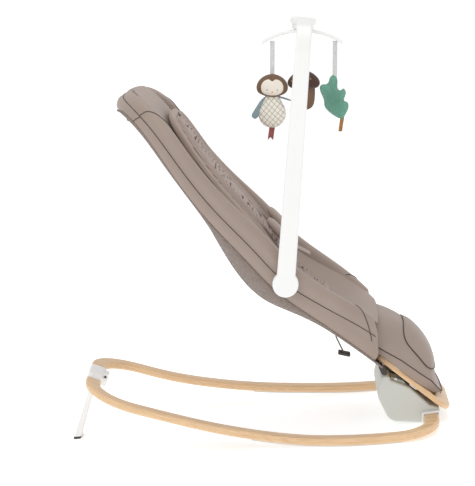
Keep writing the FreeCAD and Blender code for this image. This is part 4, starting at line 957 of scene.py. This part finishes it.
def make_foot_cover(sizes):
    """Foot cover: a full pad on the board, tucked in below its piping, with its seams; the toe pocket is made by
    make_toe_pocket.
    """
    turn = np.linspace(0, 2 * np.pi, 240, endpoint=False)[:, None]
    reach = np.sin(np.linspace(0, np.pi / 2, 60))[None, :]
    upper = foot_surface(reach, turn)
    edge_along, edge_across = foot_outline(turn)
    tuck = np.linspace(0, 1, 10)[None, 1:]
    along = FOOT_CENTRE + (edge_along - FOOT_CENTRE) * (1 - 0.03 * np.sin(tuck * np.pi / 2))
    across = edge_across * (1 - 0.03 * np.sin(tuck * np.pi / 2))
    low = foot_edge_height(edge_along)
    height = 1.4 + (low - 1.4) * (1 - tuck) ** 1.4
    under = on_board(along, across, height)
    inner = on_board(FOOT_CENTRE + 0 * turn, 0 * turn, 1.4 + 0 * turn)
    piece = grid_piece("foot_cover_pad", np.concatenate((upper, under, inner), axis=1), finish("taupe"),
                       close_rows=True)
    seat_piece(piece, "taupe_leatherette", "foot_cover")
    full = np.linspace(0, 2 * np.pi, 400, endpoint=False)
    path = stand(foot_surface(np.ones(400), full, 0.0))
    return seat_piece(tube_piece("foot_piping", [path], sizes.thread * 1.5, finish("thread"), closed=True),
                      "taupe_leatherette")


POCKET_TOP, POCKET_LOW, POCKET_HALF = 15.0, 124.0, 99.0


def make_toe_pocket(sizes):
    """Toe pocket: a puffed flap on the foot cover, stitched along its top edge. Its slit below is not cut open: the
    dark thread line round the whole edge is the stitching at the top and painted shade for the slit below.
    """
    turn = np.linspace(0, 2 * np.pi, 220, endpoint=False)[:, None]
    reach = np.sin(np.linspace(0, np.pi / 2, 44))[None, :]
    centre, half = (POCKET_TOP + POCKET_LOW) / 2, (POCKET_LOW - POCKET_TOP) / 2
    along = centre + half * bulge(np.cos(turn), 0.5) * reach
    across = POCKET_HALF * bulge(np.sin(turn), 0.5) * reach
    base = pocket_base(along, across)
    puff = 6.0 * np.clip(1 - reach ** 4, 0, 1) ** 0.6 + 0.4
    upper = on_board(along, across, base + puff)
    lower = on_board(along[:, ::-1], across[:, ::-1], base[:, ::-1] - 6.0)
    piece = grid_piece("toe_pocket_flap", np.concatenate((upper, lower), axis=1), finish("taupe"), close_rows=True)
    seat_piece(piece, "taupe_leatherette", "toe_pocket")
    # Dark thread line round the flap's whole edge: stitching along its top, painted shade standing in for the open
    # slit below.
    edge = np.linspace(0, 2 * np.pi, 300, endpoint=False)
    along = centre + half * bulge(np.cos(edge), 0.5)
    across = POCKET_HALF * bulge(np.sin(edge), 0.5)
    path = stand(on_board(along, across, pocket_base(along, across) + 0.8))
    return seat_piece(tube_piece("pocket_stitches_and_slit_shade", [path], sizes.thread * 1.6, finish("thread"), closed=True),
                      "taupe_leatherette")


def pocket_base(along, across):
    """Height of the foot cover's top above the board at places along and across it."""
    dx = (along - FOOT_CENTRE) / FOOT_REACH
    dy = across / (FOOT_HALF * (1 - 0.13 * np.clip(dx, -1, 1)))
    power = 1 / 0.62
    reach = np.clip((np.abs(dx) ** (power * 2) + np.abs(dy) ** (power * 2)) ** (0.5 / power), 0, 1)
    low = foot_edge_height(along)
    return low + (np.minimum(foot_height(along), 79) - low) * np.clip(1 - reach ** 2.7, 0, 1) ** 0.7


# ---- harness ------------------------------------------------------------------------------------------
def strap_points(path, width, thickness, columns=28):
    """Flat padded strap carried along a path, its width across the seat, with rounded closed ends."""
    path = np.asarray(path, float)
    ahead = np.gradient(path, axis=0)
    ahead /= np.linalg.norm(ahead, axis=1)[:, None]
    up = np.stack([-ahead[:, 2], np.zeros(len(path)), ahead[:, 0]], axis=-1)
    side = np.cross(up, ahead)
    phi = np.linspace(0, 2 * np.pi, columns, endpoint=False)
    place = np.linspace(-1, 1, len(path))
    end = np.clip(1 - np.abs(place) ** 10, 0, 1) ** 0.5
    across = width / 2 * bulge(np.cos(phi), 0.5)[None] * end[:, None]
    lift = thickness / 2 * bulge(np.sin(phi), 0.8)[None] * end[:, None]
    return path[:, None] + side[:, None] * across[..., None] + up[:, None] * lift[..., None]


def make_harness():
    """Waist pads that come out beside the lap, and the crotch strap up to the buckle."""
    for side, label in ((1, "left"), (-1, "right")):
        box_low, box_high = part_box(f"waist_pad_{label}")
        centre = (np.array(box_low) + np.array(box_high)) / 2
        length = np.array(box_high) - np.array(box_low)
        lean = math.atan2(length[2], length[0])
        theta = np.linspace(0, np.pi, 40)[:, None]
        phi = np.linspace(0, 2 * np.pi, 56, endpoint=False)[None, :]
        long = math.hypot(length[0], length[2]) / 2 - 0.004
        x = bulge(np.cos(theta), 0.6) * long + 0 * phi
        y = bulge(np.sin(theta), 0.6) * bulge(np.cos(phi), 0.6) * length[1] / 2
        z = bulge(np.sin(theta), 0.7) * bulge(np.sin(phi), 0.8) * 0.009
        c, s = math.cos(lean), math.sin(lean)
        points = np.stack([centre[0] + x * c - z * s, centre[1] + y, centre[2] - x * s - z * c], axis=-1)
        pad = grid_piece(f"waist_belt_{label}", points, finish("taupe"), close_columns=True, placed=True)
        seat_piece(pad, "taupe_leatherette", f"waist_pad_{label}")
    low, high = (np.array(v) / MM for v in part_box("crotch_strap"))
    ends = [(low[0] + 4, 0, high[2] - 5), ((low[0] + high[0]) / 2, 0, (low[2] + high[2]) / 2),
            (high[0] - 4, 0, low[2] + 4)]
    points = strap_points(curve_through(ends, 30), 36, 5) * MM
    strap = grid_piece("crotch_belt", points, finish("taupe"), close_columns=True, placed=True)
    seat_piece(strap, "taupe_leatherette", "crotch_strap")


def make_head_tab():
    """Looped webbing tab under the head end."""
    low, high = (np.array(v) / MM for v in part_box("head_tab"))
    middle = (low + high) / 2
    loop = [(high[0] - 1, 0, high[2] - 2), (middle[0], 0, high[2] - 4), (low[0] + 3, 0, middle[2] + 1),
            (low[0] + 5, 0, low[2] + 3), (middle[0] + 2, 0, low[2] + 4), (high[0] - 1, 0, middle[2] + 2)]
    points = strap_points(curve_through(loop, 40), 32, 2.6) * MM
    tab = grid_piece("head_loop", points, finish("tab"), close_columns=True, placed=True)
    return seat_piece(tab, "tab_webbing", "head_tab")


def make_adjuster_strap():
    """Webbing from the underside of the seat down to its strap adjuster."""
    low, high = (np.array(v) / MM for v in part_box("strap_adjuster"))
    middle = (low + high) / 2
    path = curve_through([middle + (-16, 0, 40), middle + (-8, 0, 20), middle], 24)
    strap = grid_piece("adjuster_strap", strap_points(path, 20, 2.2) * MM, finish("tab"), close_columns=True,
                       placed=True)
    return seat_piece(strap, "tab_webbing")


# ---- soft toys ------------------------------------------------------------------------------------
OWL_HEAD = np.array([(0, 745), (-16, 741), (-28, 731), (-33, 718), (-30, 707), (-21, 701), (-10, 697), (0, 695),
                     (10, 697), (21, 701), (30, 707), (33, 718), (28, 731), (16, 741)], float)
OWL_FACE = np.array([(0, 731), (-5, 734), (-12, 734), (-20, 728), (-23.5, 717), (-20, 707), (-11, 702), (0, 701),
                     (11, 702), (20, 707), (23.5, 717), (20, 728), (12, 734), (5, 734)], float)
OWL_BODY = np.array([(0, 700), (-12, 699), (-19, 689), (-27, 674), (-29, 661), (-26, 648), (-17, 637), (0, 632),
                     (17, 637), (26, 648), (29, 661), (27, 674), (19, 689), (12, 699)], float)
CAP = np.array([(0, 753), (-17, 748), (-29, 738), (-34, 727), (-31, 719), (-22, 715), (0, 716), (22, 715), (31, 719),
                (34, 727), (29, 738), (17, 748)], float)
STEM = np.array([(0, 722), (-22, 719), (-24, 706), (-23, 690), (-19, 677), (-8, 670), (0, 669), (8, 670), (19, 677),
                 (23, 690), (24, 706), (22, 719)], float)
LEAF = np.array([(25, 743), (31, 740), (35, 729), (37, 713), (41, 711), (47, 715), (52, 709), (50, 696), (50, 688),
                 (54, 687), (58, 682), (57, 670), (51, 658), (45, 651), (39, 652), (26, 659), (15, 668), (8, 678),
                 (7, 688), (4, 697), (-1, 709), (-2, 718), (2, 723), (10, 724), (15, 727), (18, 736)], float)


def closed_curve(points, count=180):
    """Smooth closed curve through outline points, as count points."""
    wrapped = np.concatenate((points[-3:], points, points[:4]))
    chord = np.concatenate(([0], np.cumsum(np.linalg.norm(np.diff(wrapped, axis=0), axis=1))))
    first, last = chord[3], chord[3 + len(points)]
    return natural_cubic(chord, wrapped, np.linspace(first, last, count, endpoint=False))


def pillow_points(outline, centre, depth, power=2.4, round_off=0.62, rows=30):
    """Stuffed form sewn from two equal flat pieces: full in the middle, closing to a seam at its outline.

    Its half thickness is depth times (1 - reach^power)^round_off, with small puckers towards the seam."""
    edge = closed_curve(outline)
    reach = np.sin(np.linspace(0, np.pi / 2, rows))
    reach = np.concatenate((reach, reach[-2::-1]))[:, None]
    side = np.concatenate((-np.ones(rows), np.ones(rows - 1)))[:, None]
    turn = np.arange(len(edge))[None, :] * 2 * np.pi / len(edge)
    pucker = 1 + 0.05 * np.sin(23 * turn) * reach ** 6
    thick = depth * np.clip(1 - reach ** power, 0, 1) ** round_off * pucker
    x = centre[0] + (edge[:, 0] - centre[0]) * reach
    z = centre[1] + (edge[:, 1] - centre[1]) * reach
    return np.stack([x, side * thick, z], axis=-1)


def pillow_depth(outline, centre, depth, x, z, power=2.4, round_off=0.62):
    """Half thickness of a stuffed form at places x and z."""
    edge = closed_curve(outline, 720) - np.asarray(centre)
    angle = np.arctan2(edge[:, 1], edge[:, 0])
    order = np.argsort(angle)
    size = np.interp(np.arctan2(z - centre[1], x - centre[0]), angle[order], np.linalg.norm(edge, axis=1)[order],
                     period=2 * np.pi)
    reach = np.clip(np.hypot(x - centre[0], z - centre[1]) / size, 0, 1)
    return depth * np.clip(1 - reach ** power, 0, 1) ** round_off


def shifted(points, x):
    """Toy points moved to their place along the bow."""
    return points + np.array([x, 0, 0])


def ribbon_points(path, width, fork=0.0, columns=14):
    """Flat ribbon along a path in the XZ plane, its width along X, with a notch in its low end."""
    path = np.asarray(path, float)
    across = np.linspace(-1, 1, columns)
    reach = np.linspace(0, 1, len(path))[:, None]
    notch = fork * (1 - np.abs(across))[None, :] * reach ** 3
    x = path[:, :1] + across[None, :] * width / 2
    y = path[:, 1:2] + 0 * across[None, :]
    z = path[:, 2:] + notch
    return np.stack([x, y, z], axis=-1)


def toy_ribbon(name, path, width, material, thickness, fork=0.0):
    """A ribbon of a toy, with its thickness."""
    piece = grid_piece(name, ribbon_points(path, width, fork), finish(material), facing=(0, -1, 0))
    add_solidify(piece, thickness)
    return piece


def hang_toy(body, node, pieces):
    """Let the pieces of a toy swing with its body, and hide its CAD node."""
    for piece in pieces:
        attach(piece, body)
    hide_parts(node)


def toy_top(node):
    """Height at which a toy's strap leaves the bow, in the level layout."""
    low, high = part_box(node)
    x, z = ((low[0] + high[0]) / 2 / MM - LENGTH_SHIFT), (high[2] / MM - FLOOR_RISE)
    c, s = math.cos(STAND_ANGLE), math.sin(STAND_ANGLE)
    return x * s + z * c


def make_owl():
    """Owl: brown head with a cream heart face, lattice body, two wings, a rose ribbon and its strap."""
    x = -102.0
    centre = (0.0, 718.0)
    head = grid_piece("owl_head", shifted(pillow_points(OWL_HEAD, centre, 16), x), finish("owl"), close_columns=True)
    body = grid_piece("owl_body", shifted(pillow_points(OWL_BODY, (0, 663), 17), x), finish("lattice"),
                      close_columns=True)
    face = pillow_points(OWL_FACE, (0, 717), 1.1, 4.0, 0.5, 24)
    lift = pillow_depth(OWL_HEAD, centre, 16, face[..., 0], face[..., 2])
    face[..., 1] -= lift
    face = grid_piece("owl_face", shifted(face, x), finish("cream"), close_columns=True)
    marks = []
    for at, size, name in (((-10.5, 713), (1.5, 0.8, 1.5), "eye"), ((10.5, 713), (1.5, 0.8, 1.5), "eye"),
                           ((0, 708.5), (1.8, 0.9, 2.3), "beak")):
        depth = pillow_depth(OWL_HEAD, centre, 16, np.array([at[0]]), np.array([at[1]]))[0] + 1.1
        marks.append(grid_piece(f"owl_{name}_{len(marks)}", shifted(blob((at[0], -depth, at[1]), size, 1, 14, 20), x),
                                finish(name), close_columns=True))
    wing = np.array([(-11, 699), (-20, 694), (-31, 680), (-41, 664), (-43, 657), (-36, 651), (-29, 656), (-26, 668),
                     (-20, 682), (-13, 692)], float)
    left = pillow_points(wing, (-28, 674), 2.6, 3.0, 0.5, 14)
    left[..., 1] += -7 + 5 * np.clip((left[..., 0] + 43) / 30, 0, 1)
    left = grid_piece("owl_wing_0", shifted(left, x), finish("wing"), close_columns=True)
    span = np.linspace(0, 1, 24)
    path = np.stack([12 + 27 * span, -1.5 + 5 * np.sin(np.pi * span), 697 - 6.5 * span - 1.5 * span ** 2], axis=-1)
    right = grid_piece("owl_wing_1", shifted(strap_points(path, 26, 2.4, 20), x), finish("wing"), close_columns=True)
    drop = np.linspace(0, 1, 24)
    tail = np.stack([x + 0.5 - 4 * drop, 1.5 * np.sin(4 * drop), 636 - 31 * drop], axis=-1)
    tail = toy_ribbon("owl_ribbon", tail, 12, "ribbon", 0.0009, fork=7)
    strap = toy_strap("owl_toy", x, 741)
    hang_toy("owl", "owl_toy", [head, body, face, left, right, tail, strap] + marks)
    return head


def toy_strap(node, x, low):
    """White webbing from the bow down into the top of a toy."""
    top = toy_top(node)
    drop = np.linspace(0, 1, 20)
    path = np.stack([np.full(20, x), 0 * drop, top + (low - 6 - top) * drop], axis=-1)
    return toy_ribbon(f"{node}_strap", path, 9.6, "webbing", 0.0016)


def make_mushroom():
    """Mushroom: dark speckled cap over a plain stem."""
    x = -36.0
    cap = grid_piece("mushroom_cap", shifted(pillow_points(CAP, (0, 730), 18), x), finish("mushroom"),
                     close_columns=True)
    stem = grid_piece("mushroom_stem", shifted(pillow_points(STEM, (0, 695), 11), x), finish("stem"),
                      close_columns=True)
    hang_toy("mushroom", "mushroom_toy", [cap, stem, toy_strap("mushroom_toy", -36, 749)])
    return cap


def make_leaf():
    """Leaf: lobed green form with brushed ribs, and an amber ribbon under it."""
    points = pillow_points(LEAF, (29, 694), 10, 2.2, 0.6, 34)
    along = (points[..., 2] - 743) * 0.93 - (points[..., 0] - 25) * 0.36
    off = (points[..., 0] - 25) * 0.93 + (points[..., 2] - 743) * 0.36 * 0.9
    points[..., 1] *= 1 + 0.05 * np.sin(along * 0.9 + np.abs(off + 3) * 1.1)
    body = grid_piece("leaf_body", points, finish("leaf"), close_columns=True)
    drop = np.linspace(0, 1, 20)
    path = np.stack([45.5 - 4 * drop, np.sin(3 * drop), 654 - 30 * drop], axis=-1)
    tag = toy_ribbon("leaf_ribbon", path, 8, "tag", 0.0009)
    hang_toy("leaf", "leaf_toy", [body, tag, toy_strap("leaf_toy", 29, 739)])
    return body


# ---- stage ------------------------------------------------------------------------------------------
def turned(vector):
    """A direction of the level layout turned into the standing frame."""
    c, s = math.cos(STAND_ANGLE), math.sin(STAND_ANGLE)
    return np.array([vector[0] * c + vector[2] * s, vector[1], -vector[0] * s + vector[2] * c])


def make_camera():
    """Camera of a long lens, level with the rockers, on the near side."""
    pitch, yaw = math.radians(11.0), math.radians(-1.195)
    ahead = np.array([math.sin(yaw) * math.cos(pitch), math.cos(yaw) * math.cos(pitch), -math.sin(pitch)])
    right = np.array([math.cos(yaw), -math.sin(yaw), 0.0])
    up = np.cross(right, ahead)
    ahead, right, up = turned(ahead), turned(right), turned(up)
    place = stand((-87.6, -4182.6, 1197.0))
    data = bpy.data.cameras.new("camera")
    data.lens = 2000.0 / 486.0 * 36.0
    data.sensor_width = 36.0
    data.clip_end = 60.0
    camera = bpy.data.objects.new("camera", data)
    camera.matrix_world = Matrix([[right[k], up[k], -ahead[k], place[k]] for k in range(3)] + [[0, 0, 0, 1]])
    bpy.context.collection.objects.link(camera)
    bpy.context.scene.camera = camera
    return camera


def area_light(name, place, target, size, power):
    """Soft square light looking at a point."""
    data = bpy.data.lights.new(name, "AREA")
    data.energy = power
    data.size = size
    light = bpy.data.objects.new(name, data)
    light.location = place
    light.rotation_euler = (Vector(target) - Vector(place)).to_track_quat("-Z", "Y").to_euler()
    bpy.context.collection.objects.link(light)
    return light


def make_stage():
    """White floor, white surroundings, soft lights and the camera."""
    mesh = bpy.data.meshes.new("floor")
    reach = 70.0
    corners = [(-reach, -reach, 0), (reach, -reach, 0), (reach, reach, 0), (-reach, reach, 0)]
    mesh.from_pydata(corners, [], [(0, 1, 2, 3)])
    floor = bpy.data.objects.new("floor", mesh)
    floor.location.z = -0.0005
    bpy.context.collection.objects.link(floor)
    material = bpy.data.materials.new("floor_paper")
    material.use_nodes = True
    shader = material.node_tree.nodes["Principled BSDF"]
    shader.inputs["Base Color"].default_value = (0.9, 0.9, 0.9, 1)
    shader.inputs["Roughness"].default_value = 0.9
    shader.inputs["Specular IOR Level"].default_value = 0.1
    shader.inputs["Emission Color"].default_value = (1, 1, 1, 1)
    shader.inputs["Emission Strength"].default_value = 0.42
    mesh.materials.append(material)
    world = bpy.data.worlds.new("white_room")
    world.use_nodes = True
    background = world.node_tree.nodes["Background"]
    background.inputs["Color"].default_value = (1, 1, 1, 1)
    background.inputs["Strength"].default_value = 0.72
    bpy.context.scene.world = world
    area_light("key", (-1.6, -2.6, 3.2), (0, 0, 0.3), 2.2, 30)
    area_light("top", (0.4, 0.3, 3.4), (0, 0, 0.2), 2.6, 26)
    make_camera()
    bpy.context.scene.view_settings.view_transform = "Standard"
    bpy.context.scene.view_settings.look = "None"
    return floor


# ---- add-on ---------------------------------------------------------------------------------------
class BOUNCER_OT_frame(bpy.types.Operator):
    """Finish the hard parts of the frame"""
    bl_idname = "bouncer.frame"
    bl_label = "Frame finishes"

    def execute(self, context):
        make_materials(context.scene.bouncer_colours)
        finish_frame()
        return {"FINISHED"}


class BOUNCER_OT_rim(bpy.types.Operator):
    """Build the padded rim and its seams"""
    bl_idname = "bouncer.rim"
    bl_label = "Padded rim"

    def execute(self, context):
        make_rim()
        make_rim_seams(context.scene.bouncer_sizes)
        return {"FINISHED"}


class BOUNCER_OT_inside(bpy.types.Operator):
    """Build the seat's inner face"""
    bl_idname = "bouncer.inside"
    bl_label = "Inner face"

    def execute(self, context):
        make_floor()
        return {"FINISHED"}


class BOUNCER_OT_underside(bpy.types.Operator):
    """Build the bottom panel, the knitted panels and their piping"""
    bl_idname = "bouncer.underside"
    bl_label = "Underside"

    def execute(self, context):
        make_hull()
        make_hull_piping(context.scene.bouncer_sizes)
        return {"FINISHED"}


class BOUNCER_OT_liner(bpy.types.Operator):
    """Build the quilted liner"""
    bl_idname = "bouncer.liner"
    bl_label = "Liner"

    def execute(self, context):
        make_liner(context.scene.bouncer_sizes)
        return {"FINISHED"}


class BOUNCER_OT_foot(bpy.types.Operator):
    """Build the foot cover and its toe pocket"""
    bl_idname = "bouncer.foot"
    bl_label = "Foot cover"

    def execute(self, context):
        make_foot_cover(context.scene.bouncer_sizes)
        make_toe_pocket(context.scene.bouncer_sizes)
        return {"FINISHED"}


class BOUNCER_OT_harness(bpy.types.Operator):
    """Build the waist pads, the crotch strap and the head tab"""
    bl_idname = "bouncer.harness"
    bl_label = "Harness and tab"

    def execute(self, context):
        make_harness()
        make_head_tab()
        make_adjuster_strap()
        return {"FINISHED"}


class BOUNCER_OT_toys(bpy.types.Operator):
    """Build the owl, the mushroom and the leaf"""
    bl_idname = "bouncer.toys"
    bl_label = "Soft toys"

    def execute(self, context):
        make_owl()
        make_mushroom()
        make_leaf()
        return {"FINISHED"}


class BOUNCER_OT_stage(bpy.types.Operator):
    """Set up the floor, lights and camera"""
    bl_idname = "bouncer.stage"
    bl_label = "Stage"

    def execute(self, context):
        make_stage()
        return {"FINISHED"}


OPERATORS = (BOUNCER_OT_frame, BOUNCER_OT_rim, BOUNCER_OT_inside, BOUNCER_OT_underside, BOUNCER_OT_liner,
             BOUNCER_OT_foot, BOUNCER_OT_harness, BOUNCER_OT_toys, BOUNCER_OT_stage)


class BOUNCER_PT_panel(bpy.types.Panel):
    """Settings and steps of the bouncer seat"""
    bl_idname = "BOUNCER_PT_panel"
    bl_label = "Bouncer seat"
    bl_space_type = "VIEW_3D"
    bl_region_type = "UI"
    bl_category = "Bouncer"

    def draw(self, context):
        layout = self.layout
        for group in (context.scene.bouncer_sizes, context.scene.bouncer_colours):
            box = layout.box()
            for name in group.bl_rna.properties.keys():
                if name not in {"rna_type", "name"}:
                    box.prop(group, name)
        for operator in OPERATORS:
            layout.operator(operator.bl_idname)


CLASSES = (BouncerSizes, BouncerColours, *OPERATORS, BOUNCER_PT_panel)


def register():
    """Register the settings, the steps and the panel."""
    for item in CLASSES:
        bpy.utils.register_class(item)
    bpy.types.Scene.bouncer_sizes = PointerProperty(type=BouncerSizes)
    bpy.types.Scene.bouncer_colours = PointerProperty(type=BouncerColours)


def unregister():
    """Take them away again."""
    del bpy.types.Scene.bouncer_colours
    del bpy.types.Scene.bouncer_sizes
    for item in reversed(CLASSES):
        bpy.utils.unregister_class(item)


def main():
    """Register the add-on and build every piece in order."""
    register()
    for operator in OPERATORS:
        group, name = operator.bl_idname.split(".")
        getattr(getattr(bpy.ops, group), name)()


if __name__ == "__main__":
    main()
